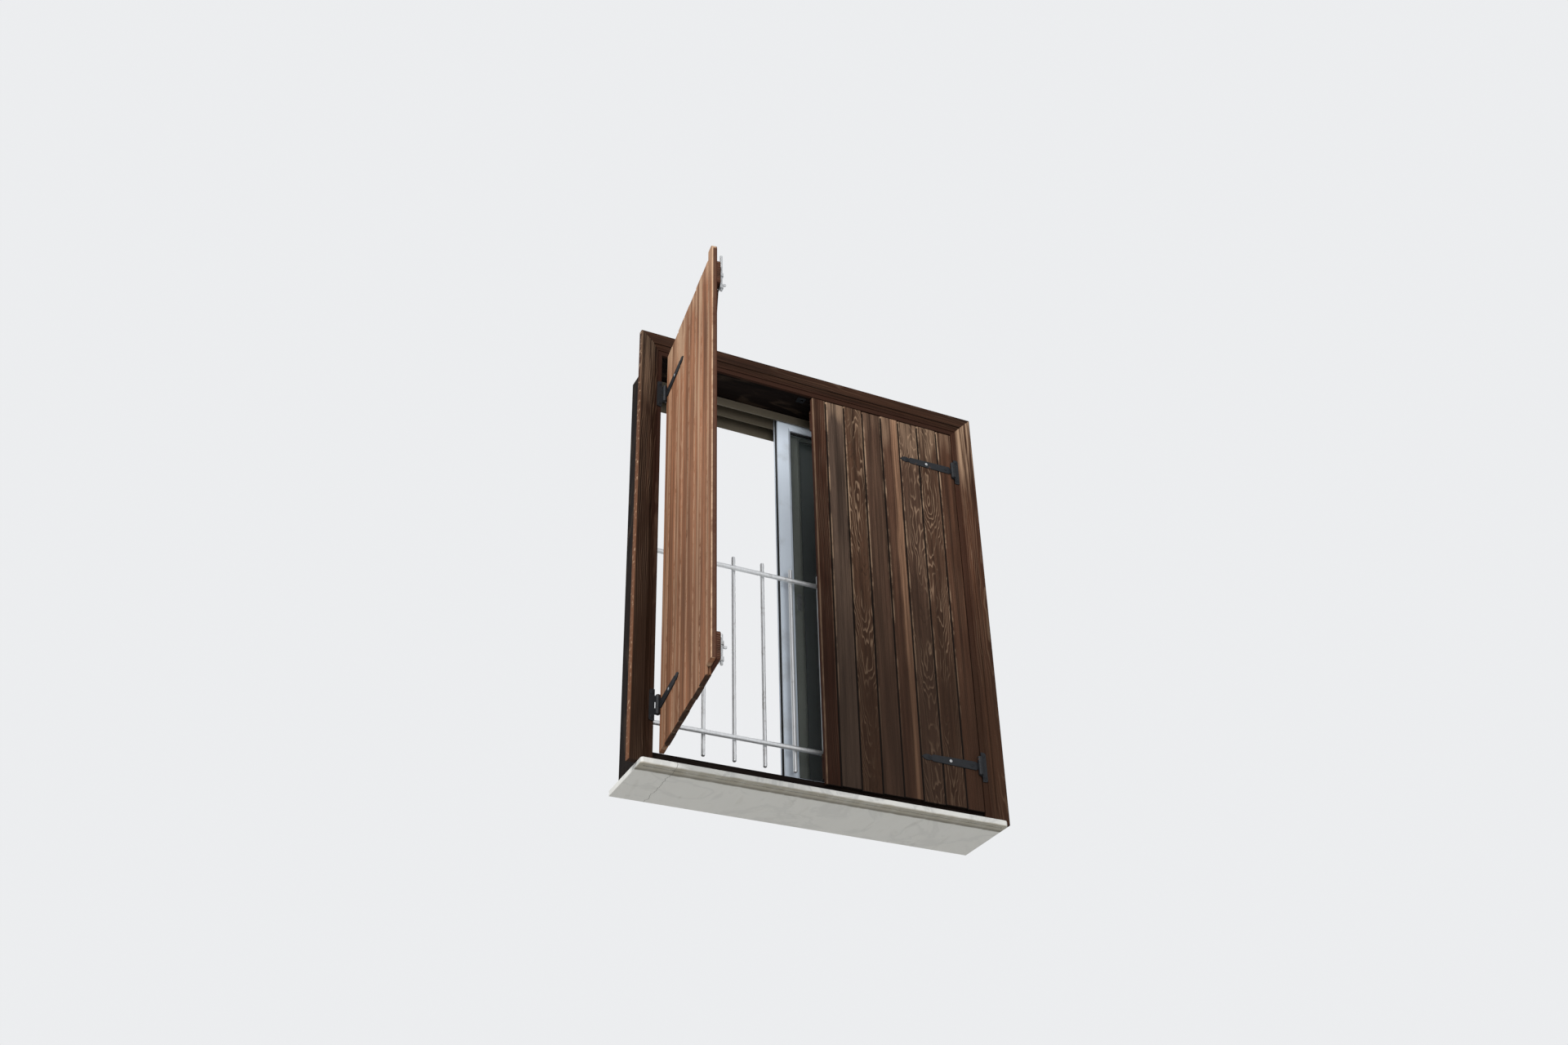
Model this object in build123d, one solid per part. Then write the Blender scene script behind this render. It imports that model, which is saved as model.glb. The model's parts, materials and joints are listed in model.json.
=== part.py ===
from build123d import *
import math
import os

# Window with ledged-and-braced board shutters, millimetres.
# X runs along the wall, Y into the wall, Z up.
# The origin is on the underside of the stone sill, at mid width, in the plane of the wall face.

# Shutter boards, from the meeting edge to the hinge edge
board_widths = (51.0, 70.0, 72.0, 73.0, 68.0, 76.0, 77.0, 62.0)
board_thick = 15.0
board_joint_gap = 0.8
vee_depth = 3.2
tongue_length = 6.0
tongue_thick = 4.0
tongue_clearance = 0.2
# How far each board end stands off the sawn line, top and bottom
right_top_steps = (0.0, -1.5, 0.5, -2.0, 1.0, -1.0, 0.5, -1.5)
right_bottom_steps = (0.0, 2.0, -1.0, 1.5, 3.0, 0.0, 2.0, -0.5)
left_top_steps = (0.0, -1.0, 1.0, -2.5, 0.5, 1.0, -1.5, 0.0)
left_bottom_steps = (0.0, 1.5, -0.5, 2.5, 0.0, 1.0, -1.0, 2.0)
slipped_board_rise = 28.0
slipped_board_round = 24.0
shutter_height = 1434.0
shutter_gap = 2.0
shutter_recess = 12.0

# Ledges, brace and their places on the back of a shutter
ledge_height = 82.0
ledge_thick = 12.0
ledge_chamfer = 2.5
ledge_end_inset = 34.0
top_ledge_drop = 44.0
bottom_ledge_lift = 24.0
brace_width = 74.0
brace_thick = 15.0
brace_lean = 330.0
brace_edge_round = 2.0
brace_start = 31.0
brace_overrun = 200.0

# Stone sill
sill_thick = 20.0
sill_projection = 50.0
sill_end_inset = 28.0
sill_arris = 4.0
sill_corner_round = 9.0
drip_width = 7.0
drip_depth = 5.0
drip_from_front = 14.0
shutter_over_sill = 34.0
shutter_under_casing = 4.0

# Casing moulding around the opening
casing_width = 78.0
casing_thick = 22.0
casing_face_width = 43.0
casing_outer_round = 5.0
casing_quirk = 3.0
casing_ogee_width = 18.0
casing_band_round = 1.5
# Splinters missing from the top arris of the head casing: start, end and depth
casing_splinters = ((67.0, 112.0, 3.0), (-78.0, -56.0, 1.3))
splinter_reach = 8.0

# Timber frame
frame_depth = 205.0
frame_backing = 22.0
stop_clearance = 2.0
stop_arris = 2.5
bottom_member_height = 50.0
bottom_member_fall = 4.0
bottom_member_flat_margin = 2.0
window_seat_lead = 4.0
fixing_hole_radius = 4.1
fixing_hole_spacing = 350.0
fixing_hole_count = 4
fixing_hole_depth_place = 50.0
fixing_hole_lowest = 260.0

# Hinges
hinge_from_shutter_top = 158.0
hinge_from_shutter_bottom = 151.0
barrel_radius = 7.5
barrel_knuckle_height = 20.0
knuckle_clearance = 0.4
pin_radius = 3.5
pin_clearance = 0.08
pin_head_radius = 5.5
pin_head_height = 2.5
hinge_plate_thick = 3.0
leaf_height = 100.0
leaf_on_casing = 16.4
leaf_corner_round = 7.0
strap_length = 214.0
strap_root_width = 29.0
strap_end_width = 23.0
strap_notch_width = 13.0
strap_spear_width = 20.0
strap_spear_length = 34.0
strap_chamfer = 0.8
strap_barrel_gap = 0.5
strap_shoulder_run = 5.0
strap_belly_share = 0.6
leaf_barrel_gap = 1.0
leaf_screw_inset = 9.0
hinge_screw_radius = 2.6
strap_screw_places = (35.0, 112.0, 186.0)
leaf_screw_places = (-38.0, 38.0)
axis_in_from_edge = 7.5

# Tower bolts
rod_radius = 4.0
rod_clearance = 0.1
rod_off_plate = 1.0
rod_end_chamfer = 1.0
top_rod_tail = 4.0
bottom_rod_lead = 18.0
rod_top_below_soffit = 5.0
bolt_throw = 22.0
bolt_from_edge = 20.0
bolt_plate_width = 28.0
bolt_plate_height = 66.0
bolt_plate_thick = 1.5
bolt_plate_round = 3.0
bridge_height = 11.0
bridge_width = 15.0
bridge_wall = 2.0
bridge_from_plate_end = 4.0
top_bolt_plate_drop = 72.0
bottom_bolt_plate_lift = 26.0
knob_radius = 4.2
knob_length = 9.0
knob_neck_radius = 2.4
knob_off_rod = 1.5
knob_round = 1.2
knob_bridge_gap = 1.0
keeper_width = 30.0
keeper_depth = 24.0
keeper_thick = 1.5
keeper_offset = 5.0
keeper_corner_round = 2.0
keeper_hole_radius = 5.0
keeper_bore_depth = 20.5

# Guard of round tubes
rail_radius = 7.5
bar_radius = 6.5
bar_count = 8
bar_spacing = 101.0
guard_place = 78.0
top_rail_height = 790.0
bottom_rail_height = 197.0
bar_bottom_height = 123.0
bar_length = 717.0
rail_end_bite = 12.0
rail_end_gap = 0.2
rail_bore_clearance = 0.1
bar_rail_gap = 0.2

# Aluminium sliding window
window_front = 118.0
window_depth = 82.0
window_side_gap = 2.0
extrusion_wall = 2.0
head_front_leg = 33.0
head_middle_leg = 45.0
head_back_leg = 64.0
head_lip = 3.0
jamb_leg = 28.0
track_front_leg = 14.0
track_back_leg = 34.0
track_rail_height = 16.0
track_rail_width = 3.0
sash_engagement = 12.0
sash_overlap = 30.0
sash_member_width = 50.0
sash_thick = 32.0
sash_front_clearance = 4.0
sash_pitch = 38.0
sash_top_clearance = 3.0
sash_seat_gap = 0.2
side_channel_depth = 11.0
side_channel_wall = 8.0
glazing_groove_depth = 10.0
glass_thick = 5.0
glass_side_clearance = 0.2
glass_edge_clearance = 2.0
bead_width = 9.0
bead_fall = 5.0
sash_back_chamfer = 2.0
catch_width = 16.0
catch_height = 66.0
catch_thick = 1.2
catch_from_edge = 31.0
catch_middle_height = 770.0
catch_slot_width = 8.0
catch_slot_height = 4.0
catch_slot_drop = 24.0
catch_screw_radius = 1.8

# How far every cutting shape runs past the piece that it cuts
overrun = 1.0

# Rest position, as the window was found
left_shutter_open_angle = 97.7
outer_sash_short_of_stop = 53.0

# Sizes that follow from those above
shutter_width = sum(board_widths)
opening_half = shutter_width + 1.5 * shutter_gap
outer_half = opening_half + casing_width
shutter_bottom = sill_thick + shutter_over_sill
shutter_top = shutter_bottom + shutter_height
opening_top = shutter_top + shutter_under_casing
overall_height = opening_top + casing_width
face_plane = shutter_recess - casing_thick
back_plane = face_plane + board_thick
ledge_plane = back_plane + ledge_thick
stop_plane = back_plane + stop_clearance
meeting_edge = shutter_gap / 2
hinge_edge = meeting_edge + shutter_width
frame_inner_half = opening_half
frame_outer_half = opening_half + frame_backing
soffit = opening_top
frame_top = opening_top + frame_backing
bottom_member_top = sill_thick + bottom_member_height
axis_x = hinge_edge - axis_in_from_edge
axis_y = face_plane - barrel_radius
upper_hinge = shutter_top - hinge_from_shutter_top
lower_hinge = shutter_bottom + hinge_from_shutter_bottom
rod_x = meeting_edge + bolt_from_edge
rod_y = ledge_plane + bolt_plate_thick + rod_radius + rod_off_plate
knob_from_plate_end = bridge_from_plate_end + bridge_height + knob_radius + knob_bridge_gap
window_half = frame_inner_half - window_side_gap
window_back = window_front + window_depth
window_bottom = bottom_member_top
window_top = soffit - window_side_gap
sash_home = window_half - jamb_leg + sash_engagement
sash_width = sash_home + sash_overlap / 2
track_rail_top = window_bottom + extrusion_wall + track_rail_height
sash_bottom = track_rail_top + sash_seat_gap - side_channel_depth
sash_top = window_top - extrusion_wall - sash_top_clearance
outer_sash_front = window_front + extrusion_wall + sash_front_clearance
inner_sash_front = outer_sash_front + sash_pitch
outer_sash_left_edge = sash_home - sash_width - outer_sash_short_of_stop


def save(name, shape):
    """Write one node; a list becomes a group of separate solids."""
    if isinstance(shape, (list, tuple)):
        shape = Compound(children=list(shape))
    shape.label = name
    export_step(shape, os.path.join("parts", name + ".step"))


def block(x0, x1, y0, y1, z0, z1):
    """Rectangular solid between two corners."""
    size = (x1 - x0, y1 - y0, z1 - z0)
    place = Pos((x0 + x1) / 2, (y0 + y1) / 2, (z0 + z1) / 2)
    return place * Box(*size)


def rod(radius, start, direction, length):
    """Round bar from a point along a direction."""
    plane = Plane(origin=start, z_dir=direction)
    return extrude(plane * Circle(radius), amount=length)


def prism(points, plane, length):
    """Straight extrusion of a closed outline drawn on a plane."""
    outline = make_face(plane * Polyline(*points, close=True))
    return extrude(outline, amount=length, dir=plane.z_dir)


def edges_near(shape, axis, spots, tolerance=0.05):
    """Edges along an axis whose centres lie on the given spots of the other two axes."""
    others = [i for i in range(3) if i != axis]
    directions = (Axis.X, Axis.Y, Axis.Z)
    found = []
    for edge in shape.edges().filter_by(directions[axis]):
        centre = tuple(edge.center())
        for spot in spots:
            if all(abs(centre[i] - s) < tolerance for i, s in zip(others, spot)):
                found.append(edge)
    return found


# Stone sill

def stone_sill():
    half = outer_half - sill_end_inset
    slab = block(-half, half, -sill_projection, frame_depth, 0.0, sill_thick)
    corners = edges_near(slab, 2, [(-half, -sill_projection), (half, -sill_projection)])
    slab = fillet(corners, sill_corner_round)
    top_edges = slab.faces().sort_by(Axis.Z)[-1].edges()
    rim = [edge for edge in top_edges if edge.center().Y < frame_depth - sill_arris]
    slab = fillet(rim, sill_arris)
    groove_front = drip_from_front - sill_projection
    groove_end = half - drip_from_front
    groove_back = groove_front + drip_width
    groove = block(-groove_end, groove_end, groove_front, groove_back, -overrun, drip_depth)
    roof = edges_near(groove, 0, [(groove_front, drip_depth), (groove_back, drip_depth)])
    return slab - fillet(roof, drip_width / 2 - 0.1)


# Casing

def casing_bar(plane, length):
    """Moulded bar: x is the distance in from the outer edge, y the height off the wall."""
    band = casing_thick - shutter_recess
    ogee_start = casing_face_width
    ogee_end = casing_face_width + casing_ogee_width
    ogee_top = casing_thick - casing_quirk
    ogee_foot = band + casing_quirk
    middle = (ogee_start + ogee_end) / 2
    edge_round = casing_outer_round
    band_round = casing_band_round
    side = Line((0, 0), (0, casing_thick - edge_round))
    nose = RadiusArc((0, casing_thick - edge_round), (edge_round, casing_thick), edge_round)
    face = Line((edge_round, casing_thick), (ogee_start, casing_thick))
    quirk = Line((ogee_start, casing_thick), (ogee_start, ogee_top))
    ogee = Bezier((ogee_start, ogee_top), (middle, ogee_top), (middle, ogee_foot), (ogee_end, ogee_foot))
    step = Line((ogee_end, ogee_foot), (ogee_end, band))
    flat = Line((ogee_end, band), (casing_width - band_round, band))
    lip = RadiusArc((casing_width - band_round, band), (casing_width, band - band_round), band_round)
    inner = Line((casing_width, band - band_round), (casing_width, 0))
    back = Line((casing_width, 0), (0, 0))
    outline = Curve() + [side, nose, face, quirk, ogee, step, flat, lip, inner, back]
    return extrude(make_face(plane * outline), amount=length, dir=plane.z_dir)


def mitre_plane(side):
    return Plane(origin=(side * outer_half, 0, overall_height), z_dir=(-side, 0, 1))


def casing_side(side):
    start = (side * outer_half, 0, sill_thick)
    length = overall_height - sill_thick
    if side > 0:
        plane = Plane(origin=start, x_dir=(-1, 0, 0), z_dir=(0, 0, 1))
    else:
        plane = Plane(origin=(-outer_half, 0, overall_height), x_dir=(1, 0, 0), z_dir=(0, 0, -1))
    return split(casing_bar(plane, length), bisect_by=mitre_plane(side), keep=Keep.BOTTOM)


def splinter(start, end, depth):
    """Long thin wedge, deepest two thirds along, taken off the top front arris."""
    deepest = start + (end - start) * 2 / 3
    points = [(start, overall_height), (deepest, overall_height - depth), (end, overall_height),
              (end, overall_height + depth), (start, overall_height + depth)]
    plane = Plane(origin=(0, splinter_reach - casing_thick, 0), x_dir=(1, 0, 0), z_dir=(0, -1, 0))
    return prism(points, plane, 2 * splinter_reach)


def casing_head():
    plane = Plane(origin=(outer_half, 0, overall_height), x_dir=(0, 0, -1), z_dir=(-1, 0, 0))
    bar = casing_bar(plane, 2 * outer_half)
    for side in (-1, 1):
        bar = split(bar, bisect_by=mitre_plane(side), keep=Keep.TOP)
    for start, end, depth in casing_splinters:
        bar -= splinter(start, end, depth)
    return bar


# Timber frame

def fixing_hole_heights():
    return [fixing_hole_lowest + i * fixing_hole_spacing for i in range(fixing_hole_count)]


def frame_jamb(side):
    x0, x1 = sorted((side * frame_inner_half, side * frame_outer_half))
    jamb = block(x0, x1, 0.0, frame_depth, sill_thick, soffit)
    bore_start = side * (frame_inner_half - overrun)
    bore_length = frame_outer_half - frame_inner_half + 2 * overrun
    rail_bore_length = rail_end_bite + rail_end_gap + overrun
    for height in fixing_hole_heights():
        start = (bore_start, fixing_hole_depth_place, height)
        jamb -= rod(fixing_hole_radius, start, (side, 0, 0), bore_length)
    for height in (top_rail_height, bottom_rail_height):
        start = (bore_start, guard_place, height)
        jamb -= rod(rail_radius + rail_bore_clearance, start, (side, 0, 0), rail_bore_length)
    return jamb


def bolt_bore(side, top):
    """Blind hole that takes the end of a shutter bolt."""
    length = keeper_bore_depth + overrun
    if top:
        return rod(keeper_hole_radius, (side * rod_x, rod_y, soffit - overrun), (0, 0, 1), length)
    return rod(keeper_hole_radius, (side * rod_x, rod_y, bottom_member_top + overrun), (0, 0, -1), length)


def frame_head():
    head = block(-frame_outer_half, frame_outer_half, 0.0, frame_depth, soffit, frame_top)
    for side in (-1, 1):
        head -= bolt_bore(side, True)
    return head


def frame_bottom():
    front_top = bottom_member_top - bottom_member_fall
    flat_start = rod_y + keeper_depth / 2 + bottom_member_flat_margin
    points = [
        (stop_plane, sill_thick),
        (frame_depth, sill_thick),
        (frame_depth, bottom_member_top),
        (window_front - window_seat_lead, bottom_member_top),
        (flat_start, front_top),
        (stop_plane, front_top),
    ]
    plane = Plane(origin=(-frame_inner_half, 0, 0), x_dir=(0, 1, 0), z_dir=(1, 0, 0))
    member = prism(points, plane, 2 * frame_inner_half)
    member = fillet(edges_near(member, 0, [(stop_plane, front_top)]), stop_arris)
    for side in (-1, 1):
        member -= bolt_bore(side, False)
    return member


# Shutters: every piece is drawn for the right shutter, closed

def board_outline(index):
    """Tongued and grooved board with a vee along each joint on the outer face."""
    first = index == 0
    last = index == len(board_widths) - 1
    x0 = meeting_edge + sum(board_widths[:index])
    x1 = x0 + board_widths[index] - (0.0 if last else board_joint_gap)
    middle = (face_plane + back_plane) / 2
    tongue0 = middle - tongue_thick / 2
    tongue1 = middle + tongue_thick / 2
    points = [(x0 + vee_depth, face_plane), (x1 - vee_depth, face_plane), (x1, face_plane + vee_depth)]
    if not last:
        reach = x1 + tongue_length
        points += [(x1, tongue0), (reach, tongue0), (reach, tongue1), (x1, tongue1)]
    points += [(x1, back_plane), (x0, back_plane)]
    if not first:
        depth = x0 + tongue_length + board_joint_gap
        low = tongue0 - tongue_clearance
        high = tongue1 + tongue_clearance
        points += [(x0, high), (depth, high), (depth, low), (x0, low)]
    points.append((x0, face_plane + vee_depth))
    return points


def board(index, top_step, bottom_step):
    z0 = shutter_bottom + bottom_step
    z1 = shutter_top + top_step
    return prism(board_outline(index), Plane(origin=(0, 0, z0)), z1 - z0)


def slipped_board():
    """The loose meeting board, slid up, with its free top corner worn round."""
    piece = board(0, slipped_board_rise, slipped_board_rise)
    top = shutter_top + slipped_board_rise
    spots = [edge for edge in piece.edges().filter_by(Axis.Y)
             if abs(edge.center().Z - top) < 0.05 and edge.center().X < meeting_edge + 0.1]
    return fillet(spots, slipped_board_round)


def ledge_span():
    return meeting_edge, hinge_edge - ledge_end_inset


def ledge(z0):
    x0, x1 = ledge_span()
    bar = block(x0, x1, back_plane, ledge_plane, z0, z0 + ledge_height)
    outer = bar.faces().sort_by(Axis.Y)[-1].edges()
    return chamfer(outer, ledge_chamfer)


def top_ledge_bottom():
    return shutter_top - top_ledge_drop - ledge_height


def bottom_ledge_bottom():
    return shutter_bottom + bottom_ledge_lift


def brace():
    """Sloping board from the meeting side at the top towards the hinge side at the bottom."""
    x0, x1 = ledge_span()
    z0 = bottom_ledge_bottom() + ledge_height
    z1 = top_ledge_bottom()
    centre_top = x0 + brace_start
    points = [
        (centre_top - brace_width / 2, z1 + brace_overrun),
        (centre_top + brace_width / 2, z1 + brace_overrun),
        (centre_top + brace_width / 2 + brace_lean, z0 - brace_overrun),
        (centre_top - brace_width / 2 + brace_lean, z0 - brace_overrun),
    ]
    plane = Plane(origin=(0, back_plane, 0), x_dir=(1, 0, 0), z_dir=(0, -1, 0))
    room = block(x0, x1, back_plane, back_plane + brace_thick, z0, z1)
    piece = prism(points, plane, -brace_thick) & room
    face = piece.faces().sort_by(Axis.Y)[-1]
    return chamfer(face.edges(), brace_edge_round)


# Hinges, drawn for the right side at height zero

def pin_bore(z0, z1):
    length = z1 - z0 + 2 * overrun
    return rod(pin_radius + pin_clearance, (axis_x, axis_y, z0 - overrun), (0, 0, 1), length)


def barrel_piece(z0, z1):
    ring = rod(barrel_radius, (axis_x, axis_y, z0), (0, 0, 1), z1 - z0)
    return ring - pin_bore(z0, z1)


def screw_hole(x, z):
    """Countersunk hole through a hinge plate."""
    start = (x, face_plane - hinge_plate_thick - overrun, z)
    hole = rod(hinge_screw_radius, start, (0, 1, 0), hinge_plate_thick + 2 * overrun)
    plane = Plane(origin=(x, face_plane - hinge_plate_thick, z), z_dir=(0, 1, 0))
    sink = extrude(plane * Circle(hinge_screw_radius * 2), amount=hinge_screw_radius, taper=45)
    return hole + sink


def hinge_strap(height):
    half = barrel_knuckle_height / 2 - knuckle_clearance / 2
    knuckle = barrel_piece(-half, half)
    root = axis_x
    clear_of_barrel = axis_x - barrel_radius - strap_barrel_gap
    tip = hinge_edge - strap_length
    shoulder = clear_of_barrel - strap_shoulder_run
    notch = tip + strap_spear_length
    belly = tip + strap_spear_length * strap_belly_share
    upper = [
        Line((root, half), (clear_of_barrel, half)),
        Line((clear_of_barrel, half), (shoulder, strap_root_width / 2)),
        Line((shoulder, strap_root_width / 2), (notch + strap_shoulder_run, strap_end_width / 2)),
        Line((notch + strap_shoulder_run, strap_end_width / 2), (notch, strap_notch_width / 2)),
        ThreePointArc((notch, strap_notch_width / 2), (belly, strap_spear_width / 2), (tip, 0)),
    ]
    plane = Plane(origin=(0, face_plane, 0), x_dir=(1, 0, 0), z_dir=(0, -1, 0))
    lower = [mirror(piece, about=Plane.XZ) for piece in upper]
    outline = Curve() + upper + lower + Line((root, half), (root, -half))
    plate = extrude(make_face(plane * outline), amount=hinge_plate_thick, dir=plane.z_dir)
    outer_face = plate.faces().sort_by(Axis.Y)[0]
    rim = [edge for edge in outer_face.edges() if edge.center().X < shoulder - strap_chamfer]
    plate = chamfer(rim, strap_chamfer)
    strap = knuckle + (plate - pin_bore(-half, half))
    for place in strap_screw_places:
        strap -= screw_hole(hinge_edge - place, 0.0)
    return Pos(0, 0, height) * strap


def hinge_leaf(height):
    gap = knuckle_clearance / 2
    low = barrel_knuckle_height / 2 + gap
    high = barrel_knuckle_height * 1.5
    y0 = face_plane - hinge_plate_thick
    outer = opening_half + leaf_on_casing
    plate = block(axis_x, outer, y0, face_plane, -leaf_height / 2, leaf_height / 2)
    corners = edges_near(plate, 1, [(outer, leaf_height / 2), (outer, -leaf_height / 2)])
    plate = fillet(corners, leaf_corner_round)
    seat_edge = axis_x + barrel_radius + leaf_barrel_gap
    for z0, z1 in ((-low, low), (high, leaf_height), (-leaf_height, -high)):
        plate -= block(axis_x - overrun, seat_edge, y0 - overrun, face_plane + overrun, z0, z1)
    leaf = plate - pin_bore(-high, high)
    for z0, z1 in ((low, high), (-high, -low)):
        leaf += barrel_piece(z0, z1)
    for place in leaf_screw_places:
        leaf -= screw_hole(outer - leaf_screw_inset, place)
    return Pos(0, 0, height) * leaf


def hinge_pin(height):
    reach = barrel_knuckle_height * 1.5
    pin = rod(pin_radius, (axis_x, axis_y, -reach), (0, 0, 1), 2 * reach)
    for z, way in ((reach, 1), (-reach, -1)):
        head = rod(pin_head_radius, (axis_x, axis_y, z), (0, 0, way), pin_head_height)
        rim = head.faces().sort_by(Axis.Z)[-1 if way > 0 else 0].edges()
        pin += fillet(rim, pin_head_height * 0.7)
    return Pos(0, 0, height) * pin


# Tower bolts, drawn for the right shutter, closed

def bolt_case(z0):
    """Plate with two bridges that guide the rod."""
    z1 = z0 + bolt_plate_height
    plate = block(rod_x - bolt_plate_width / 2, rod_x + bolt_plate_width / 2,
                  ledge_plane, ledge_plane + bolt_plate_thick, z0, z1)
    case = fillet(plate.edges().filter_by(Axis.Y), bolt_plate_round)
    reach = rod_y + rod_radius + bridge_wall
    left = rod_x - bridge_width / 2
    right = rod_x + bridge_width / 2
    for low in (z0 + bridge_from_plate_end, z1 - bridge_from_plate_end - bridge_height):
        bridge = block(left, right, ledge_plane, reach, low, low + bridge_height)
        crown = edges_near(bridge, 2, [(left, reach), (right, reach)])
        case += fillet(crown, bridge_wall + rod_radius - rod_off_plate)
    bore_length = bolt_plate_height + 2 * overrun
    return case - rod(rod_radius + rod_clearance, (rod_x, rod_y, z0 - overrun), (0, 0, 1), bore_length)


def bolt_rod(z0, z1, knob_height):
    bar = rod(rod_radius, (rod_x, rod_y, z0), (0, 0, 1), z1 - z0)
    bar = chamfer(bar.edges(), rod_end_chamfer)
    neck = rod(knob_neck_radius, (rod_x, rod_y, knob_height), (0, 1, 0), rod_radius + knob_length / 2)
    knob = rod(knob_radius, (rod_x, rod_y + rod_radius + knob_off_rod, knob_height), (0, 1, 0), knob_length)
    knob = fillet(knob.edges(), knob_round)
    return bar + neck + knob


def top_bolt_plate():
    return shutter_top - top_bolt_plate_drop - bolt_plate_height


def bottom_bolt_plate():
    return shutter_bottom + bottom_bolt_plate_lift


def top_bolt_rod():
    z0 = top_bolt_plate() - top_rod_tail
    z1 = soffit - rod_top_below_soffit - keeper_thick
    knob = top_bolt_plate() + knob_from_plate_end
    return bolt_rod(z0, z1, knob)


def bottom_bolt_rod():
    top_face = bottom_member_top - bottom_member_fall + keeper_thick
    z0 = top_face + rod_top_below_soffit
    z1 = bottom_bolt_plate() + bolt_plate_height + bottom_rod_lead
    knob = bottom_bolt_plate() + bolt_plate_height - knob_from_plate_end
    return bolt_rod(z0, z1, knob)


def keeper(side, top):
    """Flat plate round the mouth of a bolt bore."""
    z0 = soffit - keeper_thick if top else bottom_member_top - bottom_member_fall
    x = side * rod_x
    middle = x + side * keeper_offset
    plate = block(middle - keeper_width / 2, middle + keeper_width / 2,
                  rod_y - keeper_depth / 2, rod_y + keeper_depth / 2, z0, z0 + keeper_thick)
    plate = fillet(plate.edges().filter_by(Axis.Z), keeper_corner_round)
    return plate - rod(keeper_hole_radius, (x, rod_y, z0 - overrun), (0, 0, 1), keeper_thick + 2 * overrun)


# Guard

def guard_rail(height):
    half = frame_inner_half + rail_end_bite
    return rod(rail_radius, (-half, guard_place, height), (1, 0, 0), 2 * half)


def guard_bar(index):
    """Round bar with domed ends, behind the rails."""
    x = (index - (bar_count - 1) / 2) * bar_spacing
    y = guard_place + rail_radius + bar_radius + bar_rail_gap
    bar = rod(bar_radius, (x, y, bar_bottom_height), (0, 0, 1), bar_length)
    return fillet(bar.edges(), bar_radius * 0.75)


# Aluminium window: fixed members

def window_head():
    """Channel open downwards, its three legs carrying the sash tops."""
    wall = extrusion_wall
    front = window_front
    back = window_back
    middle = (front + back) / 2
    top = window_top
    web = top - wall
    points = [
        (front, top), (back, top), (back, top - head_back_leg), (back - wall, top - head_back_leg),
        (back - wall, web), (middle + wall / 2, web), (middle + wall / 2, top - head_middle_leg),
        (middle - wall / 2, top - head_middle_leg), (middle - wall / 2, web), (front + wall, web),
        (front + wall, top - head_front_leg), (front - head_lip, top - head_front_leg),
        (front - head_lip, top - head_front_leg / 2), (front, top - head_front_leg / 2),
    ]
    reach = window_half - wall
    plane = Plane(origin=(-reach, 0, 0), x_dir=(0, 1, 0), z_dir=(1, 0, 0))
    return prism(points, plane, 2 * reach)


def window_track():
    """Bottom channel with one raised rail under each sash."""
    wall = extrusion_wall
    front = window_front
    back = window_back
    floor = window_bottom + wall
    points = [(front, window_bottom), (back, window_bottom), (back, window_bottom + track_back_leg),
              (back - wall, window_bottom + track_back_leg), (back - wall, floor)]
    for sash_front in (inner_sash_front, outer_sash_front):
        middle = sash_front + sash_thick / 2
        points += [(middle + track_rail_width / 2, floor), (middle + track_rail_width / 2, track_rail_top),
                   (middle - track_rail_width / 2, track_rail_top), (middle - track_rail_width / 2, floor)]
    points += [(front + wall, floor), (front + wall, window_bottom + track_front_leg),
               (front, window_bottom + track_front_leg)]
    reach = window_half - wall
    plane = Plane(origin=(-reach, 0, 0), x_dir=(0, 1, 0), z_dir=(1, 0, 0))
    return prism(points, plane, 2 * reach)


def window_jamb(side):
    """Side channel; its legs stop short of the head and track, its web runs the full height."""
    wall = extrusion_wall
    inner = window_half - jamb_leg
    web = window_half - wall
    legs = [(window_front, window_front + wall), (window_back - wall, window_back)]
    middle = (window_front + window_back) / 2
    legs.append((middle - wall / 2, middle + wall / 2))
    z0 = window_bottom + track_back_leg
    z1 = window_top - head_back_leg
    x0, x1 = sorted((side * web, side * window_half))
    jamb = block(x0, x1, window_front, window_back, window_bottom, window_top)
    x0, x1 = sorted((side * inner, side * (web + wall / 4)))
    for y0, y1 in legs:
        jamb += block(x0, x1, y0, y1, z0, z1)
    return jamb


# Aluminium window: sashes, drawn with their left edge at x = 0

def member_outline():
    """Sash section: x in from the outer edge, y back from the front face."""
    width = sash_member_width
    deep = sash_thick
    middle = deep / 2
    groove0 = middle - glass_thick / 2 - glass_side_clearance
    groove1 = middle + glass_thick / 2 + glass_side_clearance
    lip = side_channel_wall
    return [
        (0, 0), (width - bead_width, 0), (width, bead_fall), (width, groove0),
        (width - glazing_groove_depth, groove0), (width - glazing_groove_depth, groove1), (width, groove1),
        (width, deep - sash_back_chamfer), (width - sash_back_chamfer, deep), (0, deep), (0, deep - lip),
        (side_channel_depth, deep - lip), (side_channel_depth, lip), (0, lip),
    ]


def member_bar(plane, length):
    wall = extrusion_wall
    bar = prism(member_outline(), plane, length)
    x0 = side_channel_depth + wall
    x1 = sash_member_width - glazing_groove_depth - wall
    chamber = [(x0, wall), (x1, wall), (x1, sash_thick - wall), (x0, sash_thick - wall)]
    return bar - prism(chamber, plane, length)


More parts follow.
